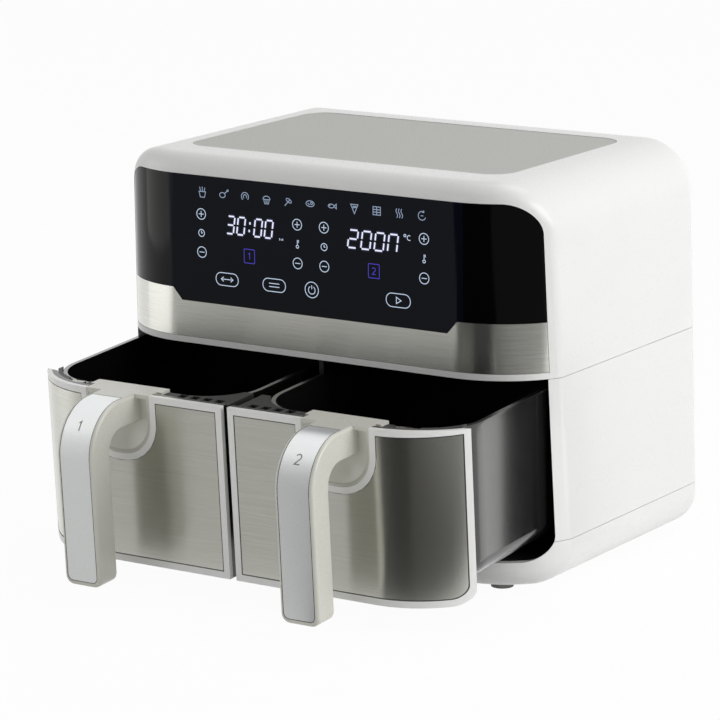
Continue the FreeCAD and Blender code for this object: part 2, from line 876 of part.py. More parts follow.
def unit_y():
    """The heating unit stands over the middle of the closed basket."""
    return d.front_y - d.drawer_proud + d.basket_front + d.basket_length / 2


def unit_base():
    return d.liner_top + d.liner_sheet


def make_heating_unit():
    x = d.unit_x
    y = unit_y()
    base = unit_base()
    top = base + d.chamber_height
    legs = [x - d.element_leg, x + d.element_leg]
    probe_x = x + (d.element_radius + d.element_tube + d.chamber_radius) / 2
    can = cylinder("ChamberCan", x, y, base, d.chamber_radius, d.chamber_height)
    room = cylinder("ChamberRoom", x, y, base - d.wall, d.chamber_radius - d.chamber_sheet,
                    d.chamber_height + d.wall - d.chamber_sheet)
    shaft_hole = cylinder("ChamberHole", x, y, base, d.shaft_radius * 2, d.chamber_height * 2)
    leg_y = y + square_root(d.element_radius * d.element_radius - d.element_leg * d.element_leg)
    leg_holes = [cylinder(f"LegHole{number}", leg_x, leg_y, base, d.element_link + d.seat_gap,
                          d.chamber_height * 2) for number, leg_x in enumerate(legs)]
    probe_hole = cylinder("ProbeHole", probe_x, y, base, d.sensor_radius + d.seat_gap, d.chamber_height * 2)
    keep_pair(cut("HeatingChamber", can, room, shaft_hole, probe_hole, *leg_holes), "heating_chamber")
    make_element(x, y, base + d.element_height, legs, leg_y, top)
    make_guard(x, y, base + d.guard_wire)
    make_motor(x, y, top)
    probe = cylinder("Probe", probe_x, y, top - d.sensor_depth, d.sensor_radius, d.sensor_depth + d.wall)
    flange = cylinder("ProbeFlange", probe_x, y, top, d.sensor_flange, d.wall)
    keep_pair(fuse("TemperatureSensor", probe, flange), "temperature_sensor")


def make_element(x, y, z, legs, leg_y, top):
    """A tubular element in two rings with a bridge between them and two legs up through the chamber's top."""
    outer = ring("ElementOuter", x, y, z, d.element_radius, d.element_tube)
    inner = ring("ElementInner", x, y, z, d.element_inner, d.element_tube)
    bridge = cylinder("ElementBridge", x, y - d.element_radius, z, d.element_link,
                      d.element_radius - d.element_inner, Y_AXIS)
    legs = [cylinder(f"ElementLeg{number}", leg_x, leg_y, z, d.element_link, top - z + d.element_height)
            for number, leg_x in enumerate(legs)]
    keep_pair(fuse("HeatingElement", outer, inner, bridge, *legs), "heating_element")


def make_guard(x, y, z):
    """Wire rings over the chamber's mouth, with two thinner crossed wires welded on top of them."""
    edge = d.mouth_radius + d.guard_overlap
    rings = [ring(f"GuardRing{number}", x, y, z, edge * number / 4, d.guard_wire) for number in range(1, 5)]
    wires = [cylinder(f"GuardWire{number}", x - edge * axis.x, y - edge * axis.y,
                      z + d.guard_wire + d.guard_cross * number / 2, d.guard_cross, edge * 2, axis)
             for number, axis in enumerate((X_AXIS, Y_AXIS))]
    keep_pair(fuse("ElementGuard", *rings, *wires), "element_guard")


def make_motor(x, y, top):
    """The motor on its three posts, and the shaft through it with a fan at each end."""
    low = top + d.motor_lift
    high = low + d.motor_height
    can = cylinder("MotorCan", x, y, low, d.motor_radius, d.motor_height)
    flange_radius = d.motor_posts + d.boss_radius
    posts = [cylinder(f"MotorPost{number}", x + d.motor_posts * math.cos(math.radians(120 * number)),
                      y + d.motor_posts * math.sin(math.radians(120 * number)), top, d.boss_radius,
                      d.motor_lift + d.motor_height / 4) for number in range(3)]
    flange = cylinder("MotorFlange", x, y, low, flange_radius, d.board_thickness)
    bore = cylinder("MotorBore", x, y, top, d.shaft_radius + d.running_fit, d.motor_height * 2)
    keep_pair(cut("Motor", fuse("MotorSolid", can, flange, *posts), bore), "motor")
    fan_low = unit_base() + d.fan_height
    shaft_top = high + d.cooling_lift + d.fan_blade
    keep_pair(cylinder("MotorShaft", x, y, fan_low, d.shaft_radius, shaft_top - fan_low), "motor_shaft")
    keep_pair(make_fan("HotAirFan", x, y, fan_low, d.fan_radius), "hot_air_fan")
    keep_pair(make_fan("CoolingFan", x, y, high + d.cooling_lift, d.cooling_radius), "cooling_fan")


def make_fan(name, x, y, z, radius):
    """A disc with upright radial blades around its hub."""
    body = new_body(name)
    disc = outline(body, name + "DiscOutline", "XY_Plane", [])
    add_circle(disc, 0, 0, radius)
    add_circle(disc, 0, 0, d.shaft_radius + d.running_fit / 5)
    grow(body, disc, d.fan_disc)
    hub = outline(body, name + "HubOutline", "XY_Plane", [])
    add_circle(hub, 0, 0, d.fan_hub)
    add_circle(hub, 0, 0, d.shaft_radius + d.running_fit / 5)
    grow(body, hub, d.fan_blade)
    half = d.fan_disc / 2
    blade = [Corner(d.fan_hub - half, -half), Corner(radius - half, -half), Corner(radius - half, half),
             Corner(d.fan_hub - half, half)]
    pad = grow(body, outline(body, name + "BladeOutline", "XY_Plane", [blade]), d.fan_blade)
    pattern = body.newObject("PartDesign::PolarPattern", name + "Blades")
    pattern.Originals = [pad]
    axis = [feature for feature in body.Origin.OriginFeatures if feature.Role == "Z_Axis"]
    pattern.Axis = (axis[0], [""])
    pattern.Angle = 360
    bind(pattern, "Occurrences", d.fan_blades)
    body.Tip = pattern
    return place(body, x, y, z)


# Drawers. Each piece is drawn level, from the middle of the front's top edge, and then hung in its place.

def hang(item):
    """Sets a drawer piece at rest: pulled out, and tipped down at the front."""
    front, top = drawer_origin()
    item.Placement = FreeCAD.Placement(Vector(), FreeCAD.Rotation(X_AXIS, 1))
    item.setExpression("Placement.Rotation.Angle", f"{d.drawer_tilt.text} * 1 deg")
    return place(item, 0, front, top)


def front_loop(border, end_border, scoop_gap):
    """A drawer front's outline seen from the front, drawn in by its borders, with the handle's scoop at its top."""
    end_x = front_point(as_size(0), d.front_wrap, as_size(0))[0] - end_border
    start_x = d.half_gap + border
    low = border - d.front_height
    top = -border
    corner = d.front_corner - border / 2
    scoop = d.scoop_half + scoop_gap
    depth = d.scoop_depth + scoop_gap
    radius = d.scoop_round + scoop_gap
    right = d.handle_x + scoop
    left = d.handle_x - scoop
    return [
        Corner(start_x, low), Corner(end_x - corner, low, corner), Corner(end_x, low + corner), Corner(end_x, top),
        Corner(right, top), Corner(right, radius - depth, radius, -1), Corner(right - radius, -depth),
        Corner(left + radius, -depth, radius, -1), Corner(left, radius - depth), Corner(left, top),
        Corner(start_x, top),
    ]


def drawer_plate(name, outer, inner, loop, bevel=0):
    """A plate along a drawer front's curve between two insets, trimmed to an outline seen from the front."""
    strip = prism(name + "Strip", "XY_Plane",
                  [front_strip(outer, inner, as_size(0), d.half_gap, bevel)],
                  -d.front_height, d.front_height)
    face = prism(name + "Face", "XZ_Plane", [loop], -d.front_radius / 2, d.front_radius * 2)
    return common(name, strip, face)


def make_drawer():
    make_front()
    make_basket()
    make_collar()
    make_handle()
    make_crisper()


def make_front():
    gap = d.trim_gap
    frame = drawer_plate("FrontSolid", as_size(0), d.front_thickness,
                         front_loop(as_size(0), as_size(0), gap), d.front_end_bevel)
    fall = d.front_radius * tangent(d.drawer_tilt)
    wedge = [Corner(0, 0), Corner(d.front_radius, -fall), Corner(d.front_radius, d.wall), Corner(0, d.wall)]
    level = prism("FrontLevel", "YZ_Plane", [wedge], 0, d.seam_width / 2)
    seat = d.inlay_depth + d.inlay_sink
    recess_border = d.border - gap
    recess = drawer_plate("FrontRecess", -d.front_wall, seat,
                          front_loop(recess_border, d.border_end - gap / 2, d.border))
    keep_pair(hang(cut("FrontFrame", frame, recess, level)), "front_frame")
    keep_pair(hang(drawer_plate("FrontPanel", d.inlay_sink, seat, front_loop(
        d.border, d.border_end, d.border + gap))), "front_panel")


def basket_loop(inset):
    return rounded_loop(d.basket_inner + inset, d.basket_front + inset, d.basket_outer - inset,
                        d.basket_front + d.basket_length - inset, d.basket_round - inset)


def basket_form(name, inset, height):
    """The basket's outer or inner form, round along the foot."""
    body = new_body(name)
    low = inset - basket_floor()
    grow(body, outline(body, name + "Plan", "XY_Plane", [basket_loop(inset)], low), height)
    soften(body, name + "Foot",
           lambda edge: all(abs(vertex.Z - low.number) < TOUCH for vertex in edge.Vertexes),
           d.basket_foot_round - inset)
    return body


def make_basket():
    outer = basket_form("BasketForm", as_size(0), d.basket_depth)
    inner = basket_form("BasketRoom", d.basket_sheet, d.basket_depth + d.rim_height)
    rim_low = -d.rim_drop - d.rim_height
    rim = prism("BasketRim", "XY_Plane", [basket_loop(-d.rim_width), basket_loop(d.basket_sheet)],
                rim_low, d.rim_height)
    glides = [box(f"Glide{number}", x - d.rail_half / 2, glide_back() - d.glide_length,
                  -basket_floor() - d.glide_height, d.rail_half, d.glide_length,
                  d.glide_height + d.basket_sheet / 2)
              for number, x in enumerate((d.rail_inner, d.rail_outer))]
    keep_pair(hang(fuse("Basket", cut("BasketShell", outer, inner), rim, *glides)), "basket")


def collar_hole_places():
    """Middles of the square holes along the collar's front edge: a straight row, then round the bend."""
    inset = d.front_thickness + d.seat_gap + d.collar_rib + d.collar_hole / 2
    pitch = d.collar_hole + d.collar_rib
    straight = [(d.collar_inner + pitch * (number + 1), inset) for number in range(4)]
    bend = [front_point(inset, d.collar_wrap * number / 4, as_size(0)) for number in range(1, 4)]
    return straight + bend


def make_collar():
    """The black collar that joins the front to the basket, with square holes in its top."""
    body = new_body("CollarForm")
    inset = d.front_thickness + d.seat_gap
    end_x, end_y = front_point(inset, d.collar_wrap, as_size(0))
    plan = [Corner(d.collar_inner, inset), Corner(d.front_flat, inset, d.front_radius - inset),
            Corner(end_x, end_y), Corner(end_x, d.collar_back), Corner(d.collar_inner, d.collar_back)]
    low = -d.collar_drop - d.collar_height
    grow(body, outline(body, "CollarPlan", "XY_Plane", [plan], low), d.collar_height)
    side = d.collar_hole / 2
    squares = [[Corner(x - side, y - side), Corner(x + side, y - side), Corner(x + side, y + side),
                Corner(x - side, y + side)] for x, y in collar_hole_places()]
    holes = outline(body, "CollarHoles", "XY_Plane", squares, -d.collar_drop - d.collar_hole_depth)
    sink(body, holes, d.collar_hole_depth)
    room = prism("CollarRoom", "XY_Plane", [basket_loop(-d.seat_gap)], low - d.wall,
                 d.collar_height + d.wall * 2)
    rim_room = prism("CollarRimRoom", "XY_Plane", [basket_loop(-d.rim_width - d.seat_gap)],
                     -d.rim_drop - d.rim_height - d.seat_gap, d.rim_height + d.rim_drop)
    gap = d.seat_gap
    scoop_half = d.scoop_half + d.cover_tab + gap
    scoop_room = box("CollarScoopRoom", d.handle_x - scoop_half, 0, -d.scoop_depth - d.cover_tab,
                     scoop_half * 2, scoop_back() + d.screw_head_height + gap, d.scoop_depth + d.cover_tab * 2)
    cover_room = box("CollarCoverRoom", d.handle_x - scoop_half, 0, -d.handle_cover - gap,
                     scoop_half * 2, cover_back() + gap, d.handle_cover * 2)
    magnet_room = box("MagnetRoom", d.magnet_x - d.magnet_length / 2 - gap, magnet_y() - gap,
                      magnet_low() - gap, d.magnet_length + gap * 2, d.magnet_width + gap * 2,
                      d.magnet_width * 2)
    keep_pair(hang(cut("Collar", body, room, rim_room, scoop_room, cover_room, magnet_room)), "basket_collar")
    half = d.magnet_length / 2
    face = [Corner(d.magnet_x - half, magnet_y()), Corner(d.magnet_x + half, magnet_y()),
            Corner(d.magnet_x + half, magnet_y() + d.magnet_width),
            Corner(d.magnet_x - half, magnet_y() + d.magnet_width)]
    keep_pair(hang(prism("Magnet", "XY_Plane", [face], magnet_low(), d.magnet_width)), "drawer_magnet")


def magnet_y():
    return d.basket_front - d.rim_width - d.magnet_width - d.seat_gap * 2


def magnet_low():
    return -d.collar_drop - d.magnet_width - d.seat_gap


# Handle

def scoop_back():
    """Distance of the scoop's rear face behind the drawer's front."""
    return d.front_thickness + d.scoop_back


def cover_back():
    return d.basket_front - d.seat_gap


def strip_loop(lift, depth, end_gap):
    """A strip along the handle's top and front, from lift above the surface to depth below it."""
    top_y = d.handle_bend - d.handle_reach
    foot = d.strip_end + end_gap - d.handle_length
    start = -d.strip_start - end_gap
    return [
        Corner(start, lift), Corner(top_y, lift, d.handle_bend + lift),
        Corner(-d.handle_reach - lift, -d.handle_bend), Corner(-d.handle_reach - lift, foot),
        Corner(depth - d.handle_reach, foot),
        Corner(depth - d.handle_reach, -d.handle_bend, d.handle_bend - depth, -1),
        Corner(top_y, -depth), Corner(start, -depth),
    ]


def scoop_loop(inset):
    half = d.scoop_half - inset
    depth = d.scoop_depth - inset
    radius = d.scoop_round - inset
    return [
        Corner(d.handle_x - half, radius - depth, radius), Corner(d.handle_x - half + radius, -depth),
        Corner(d.handle_x + half - radius, -depth, radius), Corner(d.handle_x + half, radius - depth),
        Corner(d.handle_x + half, -inset), Corner(d.handle_x - half, -inset),
    ]


def make_handle():
    arm = new_body("HandleArm")
    top_y = d.handle_bend - d.handle_reach
    grip_y = d.handle_thickness - d.handle_reach
    root = d.front_thickness
    left = d.handle_x - d.handle_width / 2
    right = d.handle_x + d.handle_width / 2
    profile = [
        Corner(root, 0), Corner(top_y, 0, d.handle_bend), Corner(-d.handle_reach, -d.handle_bend),
        Corner(-d.handle_reach, -d.handle_length), Corner(grip_y, -d.handle_length),
        Corner(grip_y, -d.handle_bend, d.handle_bend - d.handle_thickness, -1),
        Corner(top_y, -d.handle_thickness), Corner(root, -d.handle_thickness),
    ]
    grow(arm, outline(arm, "HandleProfile", "YZ_Plane", [profile], left), d.handle_width)
    soften(arm, "HandleFoot", along(Y_AXIS, z=-d.handle_length), d.handle_corner)

    def is_side_edge(edge):
        ends = [vertex.Point for vertex in edge.Vertexes]
        on_side = all(min(abs(end.x - left.number), abs(end.x - right.number)) < TOUCH for end in ends)
        clear = all(end.y < root.number - TOUCH for end in ends)
        return on_side and (clear or abs(ends[0].y - ends[1].y) > TOUCH)

    soften(arm, "HandleEdges", is_side_edge, d.handle_edge)
    back = scoop_back()
    front = d.inlay_sink
    scoop = prism("ScoopForm", "XZ_Plane", [scoop_loop(as_size(0))], front, back - front)
    hollow = prism("ScoopRoom", "XZ_Plane", [scoop_loop(d.scoop_rim)], front - d.wall,
                   back - d.scoop_back - front + d.wall)
    half = d.scoop_half
    cover = box("HandleCover", d.handle_x - half, front, -d.handle_cover, half * 2, back - front, d.handle_cover)
    tab_half = half + d.cover_tab
    tabs = box("HandleTabs", d.handle_x - tab_half, back, -d.handle_cover, tab_half * 2,
               cover_back() - back, d.handle_cover)
    groove = prism("StripGroove", "YZ_Plane", [strip_loop(d.strip_depth, d.strip_depth, as_size(0))],
                   d.handle_x - d.strip_width / 2, d.strip_width)
    foot = d.strip_end - d.handle_length
    soften(groove, "GrooveFoot", along(Y_AXIS, z=foot), d.strip_corner)
    screw_x = d.handle_width / 4
    screw_z = -d.handle_thickness / 2
    screw_holes = [cylinder(f"HandleHole{side}", d.handle_x + side * screw_x, -d.screw_length, screw_z,
                            d.screw_radius + d.running_fit, d.screw_length * 2, Y_AXIS) for side in (1, -1)]
    solid = fuse("HandleSolid", arm, cut("Scoop", scoop, hollow), cover, tabs)
    keep_pair(hang(cut("Handle", solid, groove, *screw_holes)), "handle")
    gap = d.trim_gap / 2
    strip = prism("HandleStrip", "YZ_Plane", [strip_loop(-gap / 2, d.strip_depth, gap)],
                  d.handle_x - d.strip_width / 2 + gap, d.strip_width - gap * 2)
    soften(strip, "StripFoot", along(Y_AXIS, z=foot + gap), d.strip_corner - gap)
    keep_pair(hang(strip), "handle_inlay")
    screws = []
    for side in (1, -1):
        x = d.handle_x + side * screw_x
        head = cylinder(f"HandleHead{side}", x, back, screw_z, d.screw_head, d.screw_head_height, Y_AXIS)
        shank = cylinder(f"HandleShank{side}", x, back - d.screw_length / 2, screw_z, d.screw_radius,
                         d.screw_length / 2 + d.screw_head_height / 2, Y_AXIS)
        screws.append(fuse(f"HandleScrew{side}", head, shank))
    keep_pair(hang(group("HandleScrews", *screws)), "handle_screws")


# Crisper plate

def make_crisper():
    inset = d.basket_sheet + d.crisper_gap
    floor = d.basket_sheet - basket_floor()
    low = floor + d.crisper_height
    plate = prism("CrisperSheet", "XY_Plane", [basket_loop(inset)], low, d.crisper_sheet)
    columns = 3
    rows = int(SIZES["crisper_slots"])
    margin = d.bumper_inset + d.bumper_radius
    room_x = d.basket_outer - d.basket_inner - margin * 2
    room_y = d.basket_length - margin * 2
    slot_length = room_x / columns - margin / 3
    slots = [box(f"CrisperSlot{row}{column}",
                 d.basket_inner + margin + room_x * column / columns + margin / 6,
                 d.basket_front + margin + room_y * row / (rows - 1) - d.crisper_slot / 2, low - d.wall,
                 slot_length, d.crisper_slot, d.crisper_sheet + d.wall * 2)
             for row in range(rows) for column in range(columns)]
    keep_pair(hang(cut("CrisperPlate", plate, *slots)), "crisper_plate")
    inset = d.bumper_inset
    xs = (d.basket_inner + inset, d.basket_outer - inset)
    ys = (d.basket_front + inset, d.basket_front + d.basket_length - inset)
    bumpers = [cylinder(f"Bumper{number}", x, y, floor + d.seat_gap, d.bumper_radius,
                        d.crisper_height - d.seat_gap)
               for number, (x, y) in enumerate((x, y) for x in xs for y in ys)]
    keep_pair(hang(group("CrisperBumpers", *bumpers)), "crisper_bumpers")


def check_all():
    """Stops with the names of any object that failed and any sub-part without a sound shape."""
    failed = [item.Name for item in doc.Objects if "Invalid" in item.State or "Error" in item.State]
    unsound = [item.Label for item in nodes if item.Shape.isNull() or not item.Shape.isValid()]
    if failed or unsound:
        raise RuntimeError(f"failed objects {failed}, unsound shapes {unsound}")


def main():
    make_housing()
    make_panel()
    make_power_board()
    make_liner()
    make_heating_unit()
    make_drawer()
    doc.recompute()
    check_all()
    os.makedirs("parts", exist_ok=True)
    for item in nodes:
        item.Shape.exportStep(f"parts/{item.Label}.step")
    print(len(nodes), "sub-parts written")


main()
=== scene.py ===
"""Looks of a two-drawer air fryer: the finishes of its frame, its lit print and trim, and the studio round it."""
from __future__ import annotations

import logging
import math
from dataclasses import dataclass
from enum import Enum
from typing import Any, Callable

import bmesh
import bpy
import numpy as np
from mathutils import Matrix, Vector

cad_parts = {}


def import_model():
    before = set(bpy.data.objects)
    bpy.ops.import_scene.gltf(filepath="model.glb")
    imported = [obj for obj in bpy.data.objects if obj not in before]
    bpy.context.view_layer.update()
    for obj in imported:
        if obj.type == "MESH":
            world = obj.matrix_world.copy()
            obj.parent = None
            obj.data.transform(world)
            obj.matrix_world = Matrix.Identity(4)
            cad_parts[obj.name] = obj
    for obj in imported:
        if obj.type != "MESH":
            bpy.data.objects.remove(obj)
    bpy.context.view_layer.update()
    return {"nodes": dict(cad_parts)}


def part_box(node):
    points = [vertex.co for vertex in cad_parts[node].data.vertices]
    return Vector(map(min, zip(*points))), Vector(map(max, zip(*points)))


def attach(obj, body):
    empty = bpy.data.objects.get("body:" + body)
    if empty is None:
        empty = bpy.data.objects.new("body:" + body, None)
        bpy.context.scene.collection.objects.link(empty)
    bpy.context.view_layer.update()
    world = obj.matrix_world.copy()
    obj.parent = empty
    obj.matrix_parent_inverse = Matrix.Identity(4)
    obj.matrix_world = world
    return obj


LOG = logging.getLogger("air_fryer")
MM = 0.001
WHITE = (1.0, 1.0, 1.0, 1.0)
MIX_FACTOR, MIX_FIRST, MIX_SECOND, MIX_COLOUR = 0, 6, 7, 2
# The stretch of a noise's values that a map range spreads out
WIDE = {"From Min": 0.25, "From Max": 0.75}
USUAL = {"From Min": 0.3, "From Max": 0.7}
NARROW = {"From Min": 0.35, "From Max": 0.65}
UPPER = {"From Min": 0.35, "From Max": 0.7}

Flat = tuple[float, float]
Point = tuple[float, float, float]
Stroke = tuple[np.ndarray, bool]
Place = Callable[[np.ndarray], np.ndarray]


class Side(Enum):
    """A drawer's side of the housing: its word in node names and the sign of its X."""

    RIGHT = ("right", 1)
    LEFT = ("left", -1)

    @property
    def word(self) -> str:
        """The side's word in node names."""
        return self.value[0]

    @property
    def sign(self) -> int:
        """The sign of the side's X."""
        return self.value[1]

    @property
    def digit(self) -> int:
        """The drawer's number on its handle and on the panel."""
        return 2 if self is Side.RIGHT else 1


@dataclass(frozen=True)
class DrawerFront:
    """The shape of a drawer's front that its finish and its trim share, in millimetres and degrees.

    The front is flat up to a distance from the housing's middle, and then turns back round an upright line. It
    hangs by its top edge and is tipped forwards.
    """

    y: float = -162.5
    top_z: float = 151.0
    tilt: float = 3.5
    flat: float = 125.0
    radius: float = 75.0


# Materials

def linear(colour: str) -> tuple[float, float, float, float]:
    """Turns an sRGB hex value into linear light.

    Args:
        colour: The value as #RRGGBB.

    Returns:
        Red, green, blue and an alpha of one.
    """
    channels = np.array([int(colour[start:start + 2], 16) for start in (1, 3, 5)]) / 255
    light = np.where(channels <= 0.04045, channels / 12.92, ((channels + 0.055) / 1.055) ** 2.4)
    return (*light.tolist(), 1.0)


def per(size_mm: float) -> float:
    """Returns a pattern's scale from the real size of one of its marks."""
    return 1 / (size_mm * MM)


def add(tree: bpy.types.NodeTree, kind: str, inputs: dict[Any, Any] | None = None,
        **settings: Any) -> bpy.types.Node:
    """Adds a shader node with its settings, values and links.

    Args:
        tree: The tree that takes the node.
        kind: The node's type, without the words that all shader nodes start with.
        inputs: For each socket's name or number a value, an output to link, or a node to link by its first output.
        settings: The node's own properties.

    Returns:
        The new node.
    """
    node = tree.nodes.new("ShaderNode" + kind)
    for name, value in settings.items():
        setattr(node, name, value)
    for key, value in (inputs or {}).items():
        if isinstance(value, bpy.types.Node):
            value = value.outputs[0]
        if isinstance(value, bpy.types.NodeSocket):
            tree.links.new(value, node.inputs[key])
        else:
            node.inputs[key].default_value = value
    return node


def seen(tree: bpy.types.NodeTree) -> bpy.types.Node:
    """Tells the rays that show the surroundings: from the camera, off a gloss or through a clear body.

    Args:
        tree: The tree that takes the nodes.

    Returns:
        A node that gives one for these rays and nothing for others.
    """
    rays = add(tree, "LightPath").outputs
    gloss = add(tree, "Math", {0: rays["Is Camera Ray"], 1: rays["Is Glossy Ray"]}, operation="MAXIMUM")
    return add(tree, "Math", {0: gloss, 1: rays["Is Transmission Ray"]}, operation="MAXIMUM")


@dataclass(frozen=True)
class Finish:
    """A surface's material, made once and shared by all that wear it."""

    name: str

    def material(self) -> bpy.types.Material:
        """Finds the finish's material, or makes it at its first use.

        Returns:
            The material.
        """
        known = bpy.data.materials.get(self.name)
        if known is not None:
            return known
        made = bpy.data.materials.new(self.name)
        made.use_nodes = True
        tree = made.node_tree
        tree.nodes.clear()
        add(tree, "OutputMaterial", {"Surface": self.shade(tree)})
        return made

    def shade(self, tree: bpy.types.NodeTree) -> bpy.types.Node:
        """Builds the finish's nodes.

        Args:
            tree: The material's tree.

        Returns:
            The shader, which the output takes.
        """
        raise NotImplementedError


@dataclass(frozen=True)
class Moulded(Finish):
    """Injection-moulded plastic: a slow cloudiness from the flow into the mould over a fine spark-eroded grain.

    Real grain is a tenth of a millimetre or two. It is drawn about five times as coarse, so that it shows in a
    render.
    """

    colour: str
    cloud: str
    roughness: float
    grain_mm: float
    grain_depth_mm: float = 0.002
    flow_mm: float = 70.0
    relief: float = 0.35
    spread: float = 0.15
    ior: float = 1.53

    def shade(self, tree: bpy.types.NodeTree) -> bpy.types.Node:
        """Builds the plastic's nodes.

        Args:
            tree: The material's tree.

        Returns:
            The shader.
        """
        place = add(tree, "TexCoord").outputs["Object"]
        flow = add(tree, "TexNoise", {"Vector": place, "Scale": per(self.flow_mm), "Detail": 3.0})
        grain = add(tree, "TexNoise", {"Vector": place, "Scale": per(self.grain_mm), "Detail": 2.0})
        tone = add(tree, "Mix", {MIX_FACTOR: flow, MIX_FIRST: linear(self.colour), MIX_SECOND: linear(self.cloud)},
                   data_type="RGBA")
        matt = add(tree, "MapRange", {"Value": grain, **WIDE, "To Min": self.roughness * (1 - self.spread),
                                      "To Max": self.roughness * (1 + self.spread)})
        bump = add(tree, "Bump", {"Height": grain, "Strength": self.relief, "Distance": self.grain_depth_mm * MM})
        return add(tree, "BsdfPrincipled", {"Base Color": tone.outputs[MIX_COLOUR], "Roughness": matt,
                                            "IOR": self.ior, "Normal": bump})


@dataclass(frozen=True)
class RimAndPaintedShade(Finish):
    """Polished white ABS along a drawer's curved front: a white rim, and behind it painted shade, a charcoal
    colour that stands in for the shadow on the frame's sides and in the gap between the drawers.

    A place's depth behind the front is the front's radius less the place's distance from the line that the front
    turns about. Along the flat stretch that distance is taken straight back, to the line's own depth.
    """

    colour: str
    painted_shade: str
    rim_mm: float
    front: DrawerFront = DrawerFront()
    roughness: float = 0.22
    spread: float = 0.15
    flow_mm: float = 50.0
    ior: float = 1.53

    def shade(self, tree: bpy.types.NodeTree) -> bpy.types.Node:
        """Builds the plastic's nodes, with its painted shade.

        Args:
            tree: The material's tree.

        Returns:
            The shader.
        """
        front = self.front
        place = add(tree, "TexCoord").outputs["Object"]
        hung = add(tree, "VectorMath", {0: place, 1: (0.0, front.y * MM, front.top_z * MM)}, operation="SUBTRACT")
        level = add(tree, "Mapping", {"Vector": hung, "Rotation": (-math.radians(front.tilt), 0.0, 0.0)})
        axes = add(tree, "SeparateXYZ", {"Vector": level}).outputs
        reach = add(tree, "Math", {0: axes["X"]}, operation="ABSOLUTE")
        past = add(tree, "Math", {0: reach, 1: front.flat * MM}, operation="SUBTRACT")
        turned = add(tree, "Math", {0: past, 1: 0.0}, operation="MAXIMUM")
        ahead = add(tree, "Math", {0: front.radius * MM, 1: axes["Y"]}, operation="SUBTRACT")
        spoke = add(tree, "CombineXYZ", {"X": turned, "Y": ahead})
        length = add(tree, "VectorMath", {0: spoke}, operation="LENGTH").outputs["Value"]
        edge = (front.radius - self.rim_mm) * MM
        # Painted shade: places farther back than the rim take the charcoal colour in place of shadow
        outer = add(tree, "Math", {0: length, 1: edge}, operation="GREATER_THAN")
        tone = add(tree, "Mix", {MIX_FACTOR: outer, MIX_FIRST: linear(self.painted_shade),
                                 MIX_SECOND: linear(self.colour)}, data_type="RGBA")
        flow = add(tree, "TexNoise", {"Vector": place, "Scale": per(self.flow_mm), "Detail": 3.0})
        matt = add(tree, "MapRange", {"Value": flow, **USUAL, "To Min": self.roughness * (1 - self.spread),
                                      "To Max": self.roughness * (1 + self.spread)})
        return add(tree, "BsdfPrincipled", {"Base Color": tone.outputs[MIX_COLOUR], "Roughness": matt,
                                            "IOR": self.ior})


@dataclass(frozen=True)
class Brushed(Finish):
    """Sheet metal with a level brushed grain: fine streaks along it, and reflections drawn out across it.

    The real scratches are about 0.05 mm wide. They are drawn eight times as wide, so that they show in a render.
    """

    colour: str
    streak: str
    roughness: float
    tilt: float = 0.0
    scratch_mm: float = 0.4
    scratch_length_mm: float = 45.0
    scratch_depth_mm: float = 0.02
    relief: float = 0.012
    spread: float = 0.03
    pull: float = 0.9
    turn: float = 0.25

    def shade(self, tree: bpy.types.NodeTree) -> bpy.types.Node:
        """Builds the metal's nodes.

        Args:
            tree: The material's tree.

        Returns:
            The shader.
        """
        place = add(tree, "TexCoord").outputs["Object"]
        along = per(self.scratch_length_mm)
        level = add(tree, "Mapping", {"Vector": place, "Rotation": (-math.radians(self.tilt), 0.0, 0.0)})
        stretch = add(tree, "Mapping", {"Vector": level, "Scale": (along, along, per(self.scratch_mm))})
        scratch = add(tree, "TexNoise", {"Vector": stretch, "Scale": 1.0, "Detail": 4.0, "Roughness": 0.65})
        share = add(tree, "MapRange", {"Value": scratch, **USUAL})
        tone = add(tree, "Mix", {MIX_FACTOR: share, MIX_FIRST: linear(self.colour),
                                 MIX_SECOND: linear(self.streak)}, data_type="RGBA")
        matt = add(tree, "MapRange", {"Value": scratch, **USUAL, "To Min": self.roughness * (1 - self.spread),
                                      "To Max": self.roughness * (1 + self.spread)})
        bump = add(tree, "Bump", {"Height": scratch, "Strength": self.relief,
                                  "Distance": self.scratch_depth_mm * MM})
        return add(tree, "BsdfPrincipled", {
            "Base Color": tone.outputs[MIX_COLOUR], "Metallic": 1.0, "Roughness": matt, "Anisotropic": self.pull,
            "Anisotropic Rotation": self.turn, "Normal": bump})


@dataclass(frozen=True)
class Mottled(Finish):
    """Bare, plated or anodised metal: a mottle of crystals or drawing marks, with its gloss broken up by it."""

    colour: str
    patch: str
    roughness: float
    patch_mm: float
    spread: float = 0.2
    metallic: float = 1.0
    relief: float = 0.1
    depth_mm: float = 0.05

    def shade(self, tree: bpy.types.NodeTree) -> bpy.types.Node:
        """Builds the metal's nodes.

        Args:
            tree: The material's tree.

        Returns:
            The shader.
        """
        place = add(tree, "TexCoord").outputs["Object"]
        patch = add(tree, "TexNoise", {"Vector": place, "Scale": per(self.patch_mm), "Detail": 5.0})
        share = add(tree, "MapRange", {"Value": patch, **NARROW})
        tone = add(tree, "Mix", {MIX_FACTOR: share, MIX_FIRST: linear(self.colour),
                                 MIX_SECOND: linear(self.patch)}, data_type="RGBA")
        matt = add(tree, "MapRange", {"Value": patch, **USUAL, "To Min": self.roughness * (1 - self.spread),
                                      "To Max": self.roughness * (1 + self.spread)})
        bump = add(tree, "Bump", {"Height": patch, "Strength": self.relief, "Distance": self.depth_mm * MM})
        return add(tree, "BsdfPrincipled", {"Base Color": tone.outputs[MIX_COLOUR], "Metallic": self.metallic,
                                            "Roughness": matt, "Normal": bump})


